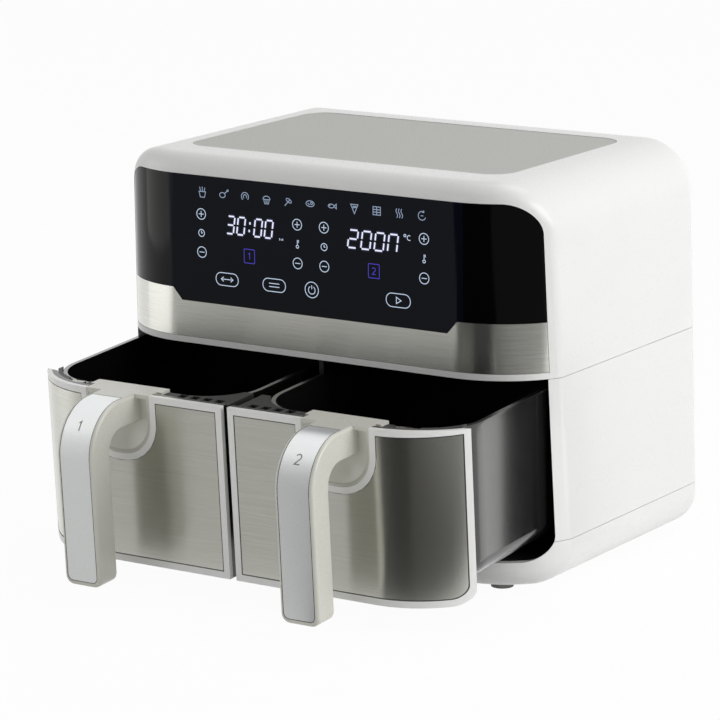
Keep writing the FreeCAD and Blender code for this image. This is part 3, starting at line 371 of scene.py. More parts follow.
@dataclass(frozen=True)
class NonStick(Finish):
    """Sprayed non-stick coat on aluminium: a dark body with fine pale flecks and the orange peel of a spray."""

    colour: str
    fleck: str
    roughness: float
    fleck_mm: float = 1.1
    fleck_core: float = 0.05
    fleck_edge: float = 0.28
    fleck_share: float = 0.75
    peel_mm: float = 3.0
    peel_depth_mm: float = 0.06
    relief: float = 0.06
    smoothest: float = 0.85
    roughest: float = 1.2
    ior: float = 1.5
    coat: float = 0.9
    coat_roughness: float = 0.12

    def shade(self, tree: bpy.types.NodeTree) -> bpy.types.Node:
        """Builds the coat's nodes.

        Args:
            tree: The material's tree.

        Returns:
            The shader.
        """
        place = add(tree, "TexCoord").outputs["Object"]
        fleck = add(tree, "TexVoronoi", {"Vector": place, "Scale": per(self.fleck_mm)})
        near = add(tree, "MapRange", {"Value": fleck, "From Min": self.fleck_core, "From Max": self.fleck_edge,
                                      "To Min": self.fleck_share, "To Max": 0.0})
        tone = add(tree, "Mix", {MIX_FACTOR: near, MIX_FIRST: linear(self.colour), MIX_SECOND: linear(self.fleck)},
                   data_type="RGBA")
        peel = add(tree, "TexNoise", {"Vector": place, "Scale": per(self.peel_mm), "Detail": 2.0})
        matt = add(tree, "MapRange", {"Value": peel, **USUAL, "To Min": self.roughness * self.smoothest,
                                      "To Max": self.roughness * self.roughest})
        bump = add(tree, "Bump", {"Height": peel, "Strength": self.relief, "Distance": self.peel_depth_mm * MM})
        return add(tree, "BsdfPrincipled", {
            "Base Color": tone.outputs[MIX_COLOUR], "Roughness": matt, "IOR": self.ior, "Coat Weight": self.coat,
            "Coat Roughness": self.coat_roughness, "Normal": bump})


@dataclass(frozen=True)
class SmokedPanel(Finish):
    """Polished black acrylic, printed behind: the middle window is a shade bluer than the solid black ends."""

    colour: str
    window: str
    window_half_mm: float
    gloss: float = 0.15
    roughness: float = 0.06
    roughest: float = 1.8
    smear_mm: float = 45.0
    ior: float = 1.49

    def shade(self, tree: bpy.types.NodeTree) -> bpy.types.Node:
        """Builds the panel's nodes.

        Args:
            tree: The material's tree.

        Returns:
            The shader.
        """
        place = add(tree, "TexCoord").outputs["Object"]
        axes = add(tree, "SeparateXYZ", {"Vector": place})
        reach = add(tree, "Math", {0: axes.outputs["X"]}, operation="ABSOLUTE")
        inside = add(tree, "Math", {0: reach, 1: self.window_half_mm * MM}, operation="LESS_THAN")
        tone = add(tree, "Mix", {MIX_FACTOR: inside, MIX_FIRST: linear(self.colour),
                                 MIX_SECOND: linear(self.window)}, data_type="RGBA")
        smear = add(tree, "TexNoise", {"Vector": place, "Scale": per(self.smear_mm), "Detail": 4.0})
        matt = add(tree, "MapRange", {"Value": smear, **UPPER, "To Min": self.roughness,
                                      "To Max": self.roughness * self.roughest})
        return add(tree, "BsdfPrincipled", {"Base Color": tone.outputs[MIX_COLOUR], "Roughness": matt,
                                            "IOR": self.ior, "Specular IOR Level": self.gloss})


@dataclass(frozen=True)
class SolderMask(Finish):
    """Green solder mask on a circuit board: paler tracks show through it in straight runs."""

    colour: str
    track: str
    run_mm: float = 19.2
    track_width: float = 0.03
    track_edge: float = 0.1
    track_depth_mm: float = 0.04
    relief: float = 0.3
    roughness: float = 0.35

    def shade(self, tree: bpy.types.NodeTree) -> bpy.types.Node:
        """Builds the mask's nodes.

        Args:
            tree: The material's tree.

        Returns:
            The shader.
        """
        place = add(tree, "TexCoord").outputs["Object"]
        upright = add(tree, "Mapping", {"Vector": place, "Rotation": (math.pi / 2, 0.0, 0.0)})
        mask = linear(self.colour)
        tracks = add(tree, "TexBrick", {
            "Vector": upright, "Scale": per(self.run_mm), "Color1": mask, "Color2": mask,
            "Mortar": linear(self.track), "Mortar Size": self.track_width, "Mortar Smooth": self.track_edge})
        bump = add(tree, "Bump", {"Height": tracks.outputs["Fac"], "Strength": self.relief,
                                  "Distance": self.track_depth_mm * MM})
        return add(tree, "BsdfPrincipled", {"Base Color": tracks.outputs["Color"], "Roughness": self.roughness,
                                            "Normal": bump})


@dataclass(frozen=True)
class LitPrint(Finish):
    """A light-guide print, lit from behind: brightest along the middle of each stroke and soft to its edges.

    The glow is a power of four times the share of the way across a stroke times the share that is left.
    """

    colour: str
    strength: float
    softness: float
    unlit: str = "#0B0C10"
    roughness: float = 0.2

    def shade(self, tree: bpy.types.NodeTree) -> bpy.types.Node:
        """Builds the print's nodes.

        Args:
            tree: The material's tree.

        Returns:
            The shader.
        """
        across = add(tree, "Attribute", attribute_name="across").outputs["Fac"]
        rest = add(tree, "Math", {0: 1.0, 1: across}, operation="SUBTRACT")
        hump = add(tree, "Math", {0: across, 1: rest}, operation="MULTIPLY")
        full = add(tree, "Math", {0: hump, 1: 4.0}, operation="MULTIPLY")
        shape = add(tree, "Math", {0: full, 1: self.softness}, operation="POWER")
        glow = add(tree, "Math", {0: shape, 1: self.strength}, operation="MULTIPLY")
        return add(tree, "BsdfPrincipled", {
            "Base Color": linear(self.unlit), "Roughness": self.roughness, "Emission Color": linear(self.colour),
            "Emission Strength": glow})


@dataclass(frozen=True)
class FloorPaper(Finish):
    """White paper: it takes a soft shadow, and is near white to the camera and in reflections."""

    colour: str = "#F5F5F5"
    shown_white: float = 0.96

    def shade(self, tree: bpy.types.NodeTree) -> bpy.types.Node:
        """Builds the paper's nodes.

        Args:
            tree: The material's tree.

        Returns:
            The shader.
        """
        paper = add(tree, "BsdfDiffuse", {"Color": linear(self.colour)})
        light = add(tree, "Emission", {"Color": WHITE, "Strength": 1.0})
        share = add(tree, "Math", {0: seen(tree), 1: self.shown_white}, operation="MULTIPLY")
        return add(tree, "MixShader", {0: share, 1: paper, 2: light})


@dataclass(frozen=True)
class CardPaper(Finish):
    """Lit card, hardly warm: an even level for metal to mirror."""

    level: float
    tint: tuple[float, float, float, float] = (1.0, 1.0, 0.98, 1.0)

    def shade(self, tree: bpy.types.NodeTree) -> bpy.types.Node:
        """Builds the card's one node and returns it."""
        return add(tree, "Emission", {"Color": self.tint, "Strength": self.level})


@dataclass(frozen=True)
class Finishes:
    """The finishes of every node and piece."""

    # White ABS, moulded and left satin: a soft broad highlight, and a hardly visible grain
    housing: Finish = Moulded("abs_moulded_white", "#F1F1F0", "#EDEDEB", 0.30, 0.9)
    # White ABS from a polished mould: a clear highlight along a thin pale rim, and charcoal painted shade on all
    # that lies farther back
    frame: Finish = RimAndPaintedShade("abs_white_rim_painted_shade", "#F8F8F6", "#1D1D1D", 3.8)
    # Ivory ABS, moulded satin: warmer than the housing
    ivory: Finish = Moulded("abs_moulded_ivory", "#DFDED5", "#D9D8CE", 0.28, 0.5, grain_depth_mm=0.0015)
    # Silver lacquer with fine flake: an even mid-grey with a faint sparkle
    top_plate: Finish = Mottled("silver_lacquer_sprayed", "#B9BAB5", "#AEAFAA", 0.48, 1.2, 0.25, metallic=0.15)
    # White ABS with a matt texture, for the exhaust grilles: dull, with no clear highlight
    grille: Finish = Moulded("abs_textured_white", "#E9E9E7", "#E2E2DF", 0.5, 0.7, grain_depth_mm=0.05)
    # Grey rubber, moulded: dull, with a powdery bloom
    rubber: Finish = Moulded("rubber_moulded_grey", "#8E8E8B", "#989894", 0.7, 0.8, 0.03, flow_mm=20.0)
    # Grey silicone, moulded: a satin skin
    silicone: Finish = Moulded("silicone_moulded_grey", "#4A4A49", "#535351", 0.5, 1.0, 0.03, flow_mm=15.0)
    # Zinc-plated steel: a pale cool mottle
    zinc: Finish = Mottled("steel_zinc_plated", "#B9BCC0", "#A5A9AF", 0.32, 1.5)
    # Smoked acrylic, polished: deep black with sharp reflections
    panel: Finish = SmokedPanel("acrylic_polished_black", "#030304", "#090D18", 133.0)
    # Stainless steel with a level brushed grain: warm grey, with reflections drawn into upright bands
    steel: Finish = Brushed("stainless_steel_brushed", "#DCDCD7", "#C9C9C2", 0.22)
    # The same steel on the drawers, its grain tipped with them, and its colour a shade darker: painted shade for
    # the dimmer reflections in the tipped fronts
    drawer_steel: Finish = Brushed("stainless_steel_brushed_drawer_shaded", "#CECEC8", "#C0C0B8", 0.25, DrawerFront.tilt)
    # Anodised aluminium, satin: a cool even sheen
    inlay: Finish = Mottled("aluminium_anodised_satin", "#F0F2F2", "#E9ECEC", 0.37, 0.9, 0.12, metallic=0.8)
    # Glass-fibre board under solder mask: green, with paler tracks
    board: Finish = SolderMask("board_solder_mask_green", "#1F5B33", "#3B8A52")
    # Black ABS, moulded, for the display blocks, switches and cooling fans: a plain dark satin
    display: Finish = Moulded("abs_moulded_black", "#17181A", "#1E1F21", 0.4, 0.9)
    # Black powder coat on steel: a matt lining that swallows light
    liner: Finish = Moulded("steel_powder_coated_black", "#0C0C0C", "#111111", 0.55, 1.0, grain_depth_mm=0.05)
    # Aluminised steel sheet: a crystalline mottle
    sheet: Finish = Mottled("steel_aluminised_sheet", "#A9A9A7", "#8F8F8E", 0.38, 5.0)
    # Steel sheath darkened by heat: brown and grey patches
    element: Finish = Mottled("steel_sheath_heat_darkened", "#6E655C", "#4F4C4B", 0.42, 6.0)
    # Drawn steel wire: bright and smooth
    wire: Finish = Mottled("steel_wire_drawn", "#B4B4B2", "#9C9C9B", 0.25, 3.0)
    # Motor can, zinc-plated and lacquered: a dull mid-grey
    motor: Finish = Mottled("steel_motor_can_plated", "#7B7C80", "#66676B", 0.4, 4.0)
    # Pressed aluminium fan: pale, with a broken gloss
    fan: Finish = Mottled("aluminium_pressed", "#C6C6C5", "#B2B2B1", 0.3, 4.0)
    # Aluminium with a sprayed non-stick coat: near black, with a clear sheen along the walls
    non_stick: Finish = NonStick("aluminium_non_stick_coated", "#131313", "#191919", 0.2)
    # Charcoal nylon, moulded with a matt texture: dark and dull
    collar: Finish = Moulded("nylon_moulded_charcoal", "#222222", "#2A2A29", 0.5, 0.9, grain_depth_mm=0.03)
    # Magnet, nickel-plated: bright and slightly yellow
    nickel: Finish = Mottled("magnet_nickel_plated", "#B6B2A8", "#A39F96", 0.2, 2.0)
    # Cool white display segments, and the violet haze round them
    digits: Finish = LitPrint("light_guide_cool_white", "#E9EDFF", 1.05, 0.12)
    haze: Finish = LitPrint("light_guide_violet_haze", "#3A3CB0", 0.26, 1.3)
    # Pale blue-grey key symbols
    symbols: Finish = LitPrint("light_guide_pale_blue", "#C2D3EA", 1.0, 0.1)
    # Dimmer programme pictures
    pictures: Finish = LitPrint("light_guide_dim_blue", "#9AACC8", 0.85, 0.1)
    # Violet-blue marks of the drawer that a display belongs to
    zones: Finish = LitPrint("light_guide_violet", "#4A3FD2", 0.8, 0.1)
    # Grey ink, pad-printed on the handles' inlays: flat and dull
    ink: Finish = Moulded("ink_pad_printed_grey", "#83888B", "#7A7F82", 0.5, 0.6)
    # Dark shadow gap round set-in trim: a thin line with no gloss
    shadow_gap: Finish = Moulded("joint_shadow_dark", "#2C2B29", "#353432", 0.6, 0.8)

    def of_node(self, node: str) -> Finish:
        """Finds the finish that a frame node wears.

        Args:
            node: The node's name, with its side's word where it is one of a pair.

        Returns:
            The finish.
        """
        piece = node.removesuffix("_right").removesuffix("_left")
        worn = {
            "top_housing": self.housing, "lower_housing": self.housing, "base_pan": self.housing,
            "front_frame": self.frame, "top_plate": self.top_plate, "rear_grille": self.grille,
            "cord_bush": self.rubber, "rubber_feet": self.rubber, "crisper_bumpers": self.silicone,
            "base_screws": self.zinc, "handle_screws": self.zinc, "control_panel": self.panel,
            "steel_band": self.steel, "front_panel": self.drawer_steel, "control_board": self.board,
            "power_board": self.board, "display_module": self.display, "drawer_sensor": self.display,
            "bay_liner": self.liner, "divider_plate": self.sheet, "heating_chamber": self.sheet,
            "heating_element": self.element, "element_guard": self.wire, "temperature_sensor": self.wire,
            "motor_shaft": self.wire, "motor": self.motor, "hot_air_fan": self.fan, "cooling_fan": self.display,
            "basket": self.non_stick, "crisper_plate": self.non_stick, "basket_collar": self.collar,
            "drawer_magnet": self.nickel, "handle": self.ivory, "handle_inlay": self.inlay,
        }
        return worn[piece]


# Surfaces

@dataclass
class Surface:
    """One or more closed surfaces: corner places in millimetres, faces of four, and the share across a stroke."""

    points: np.ndarray
    faces: np.ndarray
    across: np.ndarray

    @staticmethod
    def joined(parts: list[Surface]) -> Surface:
        """Joins several surfaces into one.

        Args:
            parts: The surfaces.

        Returns:
            One surface, with each part's corner numbers moved past those before it.
        """
        starts = np.cumsum([0] + [len(part.points) for part in parts[:-1]])
        return Surface(np.concatenate([part.points for part in parts]),
                       np.concatenate([part.faces + start for part, start in zip(parts, starts)]),
                       np.concatenate([part.across for part in parts]))

    def placed(self, place: Place) -> Surface:
        """Returns the surface with its places put through a mapping."""
        return Surface(place(self.points), self.faces, self.across)


def ribbon(stroke: Stroke, width: float, height: float) -> Surface:
    """Carries a rectangular profile along a flat path.

    At each point the profile stands on the mitred normal: the sum of the normals of the two runs that meet there,
    divided by one plus their dot product. It reaches half the width to each side, and from 0 up to the height.

    Args:
        stroke: The path's points, and whether its end meets its start.
        width: The ribbon's width.
        height: The ribbon's height above the path.

    Returns:
        The closed ribbon.
    """
    path, closed = stroke
    runs = np.roll(path, -1, 0) - path
    if not closed:
        runs[-1] = runs[-2]
    runs = runs / np.linalg.norm(runs, axis=1, keepdims=True)
    normal = np.stack([-runs[:, 1], runs[:, 0]], 1)
    before = np.roll(normal, 1, 0)
    if not closed:
        before[0] = normal[0]
    sharpest = 0.3
    mitre = (normal + before) / np.maximum(1 + (normal * before).sum(1, keepdims=True), sharpest)
    edge = mitre * width / 2
    low = np.zeros((len(path), 1))
    high = low + height
    corners = np.stack([np.hstack([path + edge, low]), np.hstack([path + edge, high]),
                        np.hstack([path - edge, high]), np.hstack([path - edge, low])], 1)
    rings = np.arange(len(path) * 4).reshape(-1, 4)
    own, following = (rings, np.roll(rings, -1, 0)) if closed else (rings[:-1], rings[1:])
    sides = np.stack([own, np.roll(own, -1, 1), np.roll(following, -1, 1), following], -1).reshape(-1, 4)
    caps = np.empty((0, 4), int) if closed else np.stack([rings[0], rings[-1][::-1]])
    across = np.tile([1.0, 1.0, 0.0, 0.0], len(path))
    return Surface(corners.reshape(-1, 3), np.concatenate([sides, caps]), across)


def ribbons(strokes: list[Stroke], width: float, height: float) -> Surface:
    """Joins the ribbons of several strokes into one surface."""
    return Surface.joined([ribbon(stroke, width, height) for stroke in strokes])


def make_piece(name: str, surface: Surface, finish: Finish, body: str, slot: str, smooth: bool = False) -> None:
    """Makes a piece of the object from a surface.

    Args:
        name: The piece's name.
        surface: Its places, in millimetres in the frame's axes.
        finish: What it wears.
        body: The frame body that it moves with.
        slot: A material slot's name; it is not used.
        smooth: Whether its faces are shaded as one curved surface.
    """
    data = bpy.data.meshes.new(name)
    data.from_pydata((surface.points * MM).tolist(), [], surface.faces.tolist())
    data.attributes.new("across", "FLOAT", "POINT").data.foreach_set("value", surface.across.astype(np.float32))
    work = bmesh.new()
    work.from_mesh(data)
    bmesh.ops.remove_doubles(work, verts=work.verts, dist=1e-7)
    bmesh.ops.recalc_face_normals(work, faces=work.faces)
    work.to_mesh(data)
    work.free()
    data.polygons.foreach_set("use_smooth", np.full(len(data.polygons), smooth))
    data.materials.append(finish.material())
    piece = bpy.data.objects.new(name, data)
    bpy.context.scene.collection.objects.link(piece)
    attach(piece, body)
    LOG.info("%s: %d faces on %s", name, len(data.polygons), body)


# Strokes of signs and pictures

def arc(x: float, y: float, radius: float, start: float = 0.0, end: float = 360.0, flat: float = 1.0) -> Stroke:
    """Draws a circle, an ellipse or a part of one.

    Args:
        x: The middle's first place.
        y: The middle's second place.
        radius: Half the width.
        start: The angle of the first point, in degrees from the first axis.
        end: The angle of the last point.
        flat: The height as a share of the width.

    Returns:
        The stroke, closed where it is a whole turn.
    """
    whole = abs(end - start) >= 360
    fewest, degrees_apart = 6, 12
    count = max(fewest, int(abs(end - start) / degrees_apart))
    angles = np.radians(np.linspace(start, end, count, endpoint=not whole))
    return np.stack([x + radius * np.cos(angles), y + radius * flat * np.sin(angles)], 1), whole


def line(*points: Any) -> Stroke:
    """Draws straight runs from point to point."""
    return np.array(points, float), False


def loop(*points: Any) -> Stroke:
    """Draws straight runs from point to point and back to the first."""
    return np.array(points, float), True


def wave(x: float, low: float, high: float, swing: float) -> Stroke:
    """Draws an upright line that swings once to each side."""
    share = np.linspace(0, 1, 13)
    return np.stack([x + swing * np.sin(share * 2 * np.pi), low + share * (high - low)], 1), False


def pill(x: float, y: float, width: float, height: float, corner: float) -> Stroke:
    """Draws a rectangle with round corners.

    Args:
        x: The middle's first place.
        y: The middle's second place.
        width: The whole width.
        height: The whole height.
        corner: The corners' radius.

    Returns:
        The closed stroke.
    """
    right, top = width / 2 - corner, height / 2 - corner
    middles = ((right, top, 0), (-right, top, 90), (-right, -top, 180), (right, -top, 270))
    return np.vstack([arc(x + across, y + up, corner, turn, turn + 90)[0] for across, up, turn in middles]), True


def moved(strokes: list[Stroke], x: float, y: float, size: float) -> list[Stroke]:
    """Scales strokes about their own middle and moves them to a place."""
    return [(path * size + (x, y), closed) for path, closed in strokes]


def finely(strokes: list[Stroke], step: float) -> list[Stroke]:
    """Divides each run into equal shares no longer than a step, so that a stroke can follow a curved surface.

    Args:
        strokes: The strokes.
        step: The longest run that is left.

    Returns:
        The same strokes with more points on them.
    """
    divided: list[Stroke] = []
    for path, closed in strokes:
        corners = np.vstack([path, path[:1]]) if closed else path
        lengths = np.linalg.norm(np.diff(corners, axis=0), axis=1)
        counts = np.maximum(1, np.ceil(lengths / step)).astype(int)
        run = np.repeat(np.arange(len(counts)), counts)
        share = (np.arange(counts.sum()) - np.repeat(np.cumsum(counts) - counts, counts)) / counts[run]
        points = corners[run] + share[:, None] * (corners[run + 1] - corners[run])
        divided.append((points if closed else np.vstack([points, corners[-1]]), closed))
    return divided


def numeral(digit: int) -> list[Stroke]:
    """Draws a plain 1 or 2 in a cell from -1 to 1.

    Args:
        digit: The number.

    Returns:
        Its one stroke.
    """
    if digit == 1:
        return [line((-0.35, 0.6), (0.1, 1.0), (0.1, -1.0))]
    bow = arc(0, 0.45, 0.55, 160, -40)[0]
    return [line(*bow, (-0.55, -1.0), (0.6, -1.0))]


def programme_pictures() -> list[list[Stroke]]:
    """Draws one simple picture for each cooking programme, in cells from -1 to 1.

    Returns:
        The strokes of chips, a joint, a ring, a cake, a leaf, a steak, a fish, a slice, a rack, heat and a turn.
    """
    chips = [loop((-0.7, 0.1), (-0.45, -0.9), (0.45, -0.9), (0.7, 0.1)), line((-0.4, 0.1), (-0.55, 0.9)),
             line((0, 0.1), (0, 0.95)), line((0.4, 0.1), (0.55, 0.85))]
    joint = [arc(-0.25, -0.15, 0.6, flat=0.75), line((0.25, 0.2), (0.8, 0.65)), arc(0.88, 0.72, 0.14)]
    ring = [arc(0, 0, 0.75, -40, 230), arc(0, 0, 0.35, -40, 230)]
    cake = [loop((-0.6, -0.1), (-0.4, -0.85), (0.4, -0.85), (0.6, -0.1)), arc(0, -0.1, 0.75, 0, 180, 0.8),
            line((-0.15, -0.25), (-0.1, -0.7)), line((0.15, -0.25), (0.1, -0.7))]
    leaf = [arc(-0.2, -0.5, 1.0, 25, 105), arc(0.45, 0.75, 1.0, 205, 285), line((-0.75, -0.85), (0.4, 0.35))]
    steak = [arc(0, 0, 0.85, flat=0.6), arc(0.3, 0.08, 0.2), line((-0.5, 0.1), (-0.1, -0.25))]
    fish = [arc(-0.2, 0, 0.6, flat=0.55), loop((0.4, 0), (0.85, 0.4), (0.85, -0.4)), arc(-0.5, 0.08, 0.07)]
    piece = [loop((-0.75, 0.7), (0.75, 0.7), (0, -0.9)), arc(-0.15, 0.25, 0.16), arc(0.25, 0.3, 0.12)]
    rack = [loop((-0.75, -0.7), (0.75, -0.7), (0.75, 0.7), (-0.75, 0.7)), line((-0.75, 0.23), (0.75, 0.23)),
            line((-0.75, -0.23), (0.75, -0.23)), line((0, -0.7), (0, 0.7))]
    heat = [wave(x, -0.8, 0.8, 0.16) for x in (-0.5, 0, 0.5)]
    turn = [arc(0, 0, 0.75, 60, 340), line((0.35, 0.95), (0.38, 0.62), (0.05, 0.6)), line((-0.25, 0), (0.25, 0))]
    return [chips, joint, ring, cake, leaf, steak, fish, piece, rack, heat, turn]


# Sub-assemblies

@dataclass
class Dressing:
    """Puts each frame node into its finish."""

    nodes: dict[str, bpy.types.Object]
    finishes: Finishes

    def dress(self) -> None:
        """Gives every node one material slot with its finish."""
        for name, node in self.nodes.items():
            material = self.finishes.of_node(name).material()
            node.data.materials.clear()
            node.data.materials.append(material)
            LOG.info("%s wears %s", name, material.name)


@dataclass
class PanelPrint:
    """The lit print behind the control panel, in millimetres on its face: first place X, second place Z."""

    finishes: Finishes
    face_y: float
    body: str = "housing"
    slot: str = "display"
    stroke: float = 0.62
    lift: float = 0.05
    height: float = 0.06
    # The row of programme pictures
    picture_z: float = 282.5
    picture_pitch: float = 19.7
    picture_half: float = 4.3
    # The plus and minus keys, with a sign between them
    key_columns: tuple[float, ...] = (-100.0, -12.0, 12.0, 100.0)
    plus_z: float = 265.5
    minus_z: float = 236.0
    sign_z: float = 250.8
    key_radius: float = 4.1
    key_arm: float = 0.55
    # The displays: name, signs, left edge and right edge
    displays: tuple[tuple[str, str, float, float], ...] = (("time", "30:00", -77.0, -35.5),
                                                           ("heat", "200n", 33.0, 76.0))
    digit_low: float = 252.8
    digit_high: float = 266.2
    digit_stroke: float = 1.25
    digit_gap: float = 0.48
    bar_inset: float = 0.62
    colon_cell: float = 0.42
    colon_shares: Flat = (0.28, 0.72)
    colon_half: float = 0.9
    haze_width: float = 2.6
    slant: float = 8.0
    # The marks after the displays: bars with their places and tops, and a degree sign as two rings
    bar_low: float = 252.0
    bars: tuple[Flat, ...] = ((-28.0, 253.6), (-26.6, 253.2), (-25.2, 253.6))
    degree_ring: Point = (83.5, 266.4, 0.9)
    open_ring: Point = (87.3, 264.9, 1.8)
    # The squares with the drawers' numbers
    zone_x: float = 56.0
    zone_z: float = 237.0
    zone_size: Point = (9.6, 10.6, 0.6)
    zone_digit_half: float = 2.5
    zone_stroke: float = 0.9
    # The row of buttons: places, and width, height and corner
    button_z: float = 217.0
    swap_x: float = -77.0
    match_x: float = -33.7
    start_x: float = 77.2
    power_x: float = 0.4
    button_size: Point = (20.6, 9.8, 4.7)
    start_size: Point = (21.2, 10.2, 4.9)
    button_sign: float = 3.6
    start_sign: float = 3.0

    def place(self, points: np.ndarray) -> np.ndarray:
        """Maps flat places to the panel's face, with height towards the front."""
        return np.stack([points[:, 0], self.face_y - self.lift - points[:, 2], points[:, 1]], 1)

    def make(self, name: str, strokes: list[Stroke], width: float, finish: Finish, over: int = 1) -> None:
        """Makes one piece of print from strokes, so many print heights tall."""
        surface = ribbons(strokes, width, self.height * over)
        make_piece(name, surface.placed(self.place), finish, self.body, self.slot)

    def build(self) -> None:
        """Builds the pictures, key signs, drawer marks and displays."""
        self.make("programme_pictures", self.pictures(), self.stroke, self.finishes.pictures)
        self.make("key_signs", self.keys() + self.buttons() + self.units(), self.stroke, self.finishes.symbols)
        self.make("zone_marks", self.zones(), self.stroke * self.zone_stroke, self.finishes.zones)
        for name, text, left, right in self.displays:
            strokes = self.digits(text, left, right)
            self.make(f"display_{name}_haze", strokes, self.digit_stroke * self.haze_width, self.finishes.haze)
            self.make(f"display_{name}", strokes, self.digit_stroke, self.finishes.digits, 2)

    def pictures(self) -> list[Stroke]:
        """Draws the row of programme pictures.

        Returns:
            The strokes, in a row about the middle.
        """
        cells = programme_pictures()
        first = -self.picture_pitch * (len(cells) - 1) / 2
        return [stroke for number, cell in enumerate(cells)
                for stroke in moved(cell, first + self.picture_pitch * number, self.picture_z, self.picture_half)]

    def keys(self) -> list[Stroke]:
        """Draws the plus and minus keys and the signs between them, a clock and a thermometer by turns.

        Returns:
            The strokes.
        """
        radius, arm = self.key_radius, self.key_radius * self.key_arm
        clock = [arc(0, 0, 2.7), line((0, 1.7), (0, 0), (1.2, 0))]
        thermometer = [arc(0, -2.1, 1.1), line((0, -1.0), (0, 3.0)), line((1.0, 1.0), (1.0, 3.0))]
        minus = [arc(0, 0, radius), line((-arm, 0), (arm, 0))]
        plus = [*minus, line((0, -arm), (0, arm))]
        strokes: list[Stroke] = []
        for number, x in enumerate(self.key_columns):
            sign = clock if number % 2 == 0 else thermometer
            for drawing, z in ((plus, self.plus_z), (minus, self.minus_z), (sign, self.sign_z)):
                strokes += moved(drawing, x, z, 1.0)
        return strokes

    def buttons(self) -> list[Stroke]:
        """Draws the pill-shaped buttons with their signs, and the power ring.

        Returns:
            The strokes.
        """
        z = self.button_z
        swap = [line((-1.5, 0), (1.5, 0)), line((-0.9, 0.5), (-1.5, 0), (-0.9, -0.5)),
                line((0.9, 0.5), (1.5, 0), (0.9, -0.5))]
        match = [line((-1.3, 0.35), (1.3, 0.35)), line((-1.3, -0.35), (1.3, -0.35))]
        start = [loop((-0.55, 0.8), (0.85, 0), (-0.55, -0.8))]
        power = [arc(0, 0, 6.0), arc(0, -0.2, 3.0, -240, 60), line((0, 3.6), (0, 0.6))]
        strokes = moved(power, self.power_x, z, 1.0)
        for sign, x, pill_size, sign_size in ((swap, self.swap_x, self.button_size, self.button_sign),
                                              (match, self.match_x, self.button_size, self.button_sign),
                                              (start, self.start_x, self.start_size, self.start_sign)):
            strokes += [pill(x, z, *pill_size), *moved(sign, x, z, sign_size)]
        return strokes

    def units(self) -> list[Stroke]:
        """Draws and returns the degree sign after the heat and three short bars after the time."""
        degrees = [arc(*self.degree_ring), arc(*self.open_ring, 60, 300)]
        return degrees + [line((x, self.bar_low), (x, top)) for x, top in self.bars]

    def zones(self) -> list[Stroke]:
        """Draws each drawer's number in a square.

        Returns:
            The strokes.
        """
        strokes: list[Stroke] = []
        for side in Side:
            x = side.sign * self.zone_x
            strokes += [pill(x, self.zone_z, *self.zone_size),
                        *moved(numeral(side.digit), x, self.zone_z, self.zone_digit_half)]
        return strokes

    def digits(self, text: str, left: float, right: float) -> list[Stroke]:
        """Draws slanted seven-bar digits between two places.

        Args:
            text: The digits; a colon takes a narrow cell.
            left: The first digit's left edge at its foot.
            right: The last digit's right edge at its foot.

        Returns:
            The strokes, each bar a run with its ends drawn in.
        """
        tall = self.digit_high - self.digit_low
        half = tall / 2
        bars = {"a": (0, tall, 1, tall), "b": (1, half, 1, tall), "c": (1, 0, 1, half), "d": (0, 0, 1, 0),
                "e": (0, 0, 0, half), "f": (0, half, 0, tall), "g": (0, half, 1, half)}
        lit = {"0": "abcdef", "2": "abdeg", "3": "abcdg", "n": "abcef"}
        cells = [self.colon_cell if sign == ":" else 1.0 for sign in text]
        wide = (right - left) / (sum(cells) + self.digit_gap * (len(cells) - 1))
        lean = math.tan(math.radians(self.slant))
        inset = self.digit_stroke * self.bar_inset
        strokes: list[Stroke] = []
        x = left
        for sign, cell in zip(text, cells):
            for z in [tall * share for share in self.colon_shares] if sign == ":" else []:
                middle = x + wide * cell / 2 + z * lean
                dot = self.digit_low + z
                strokes.append(line((middle, dot - self.colon_half), (middle, dot + self.colon_half)))
            for bar in lit.get(sign, ""):
                x0, z0, x1, z1 = bars[bar]
                start = np.array([x + wide * x0 + z0 * lean, self.digit_low + z0])
                end = np.array([x + wide * x1 + z1 * lean, self.digit_low + z1])
                step = (end - start) / np.linalg.norm(end - start) * inset
                strokes.append(line(start + step, end - step))
            x += wide * (cell + self.digit_gap)
        return strokes


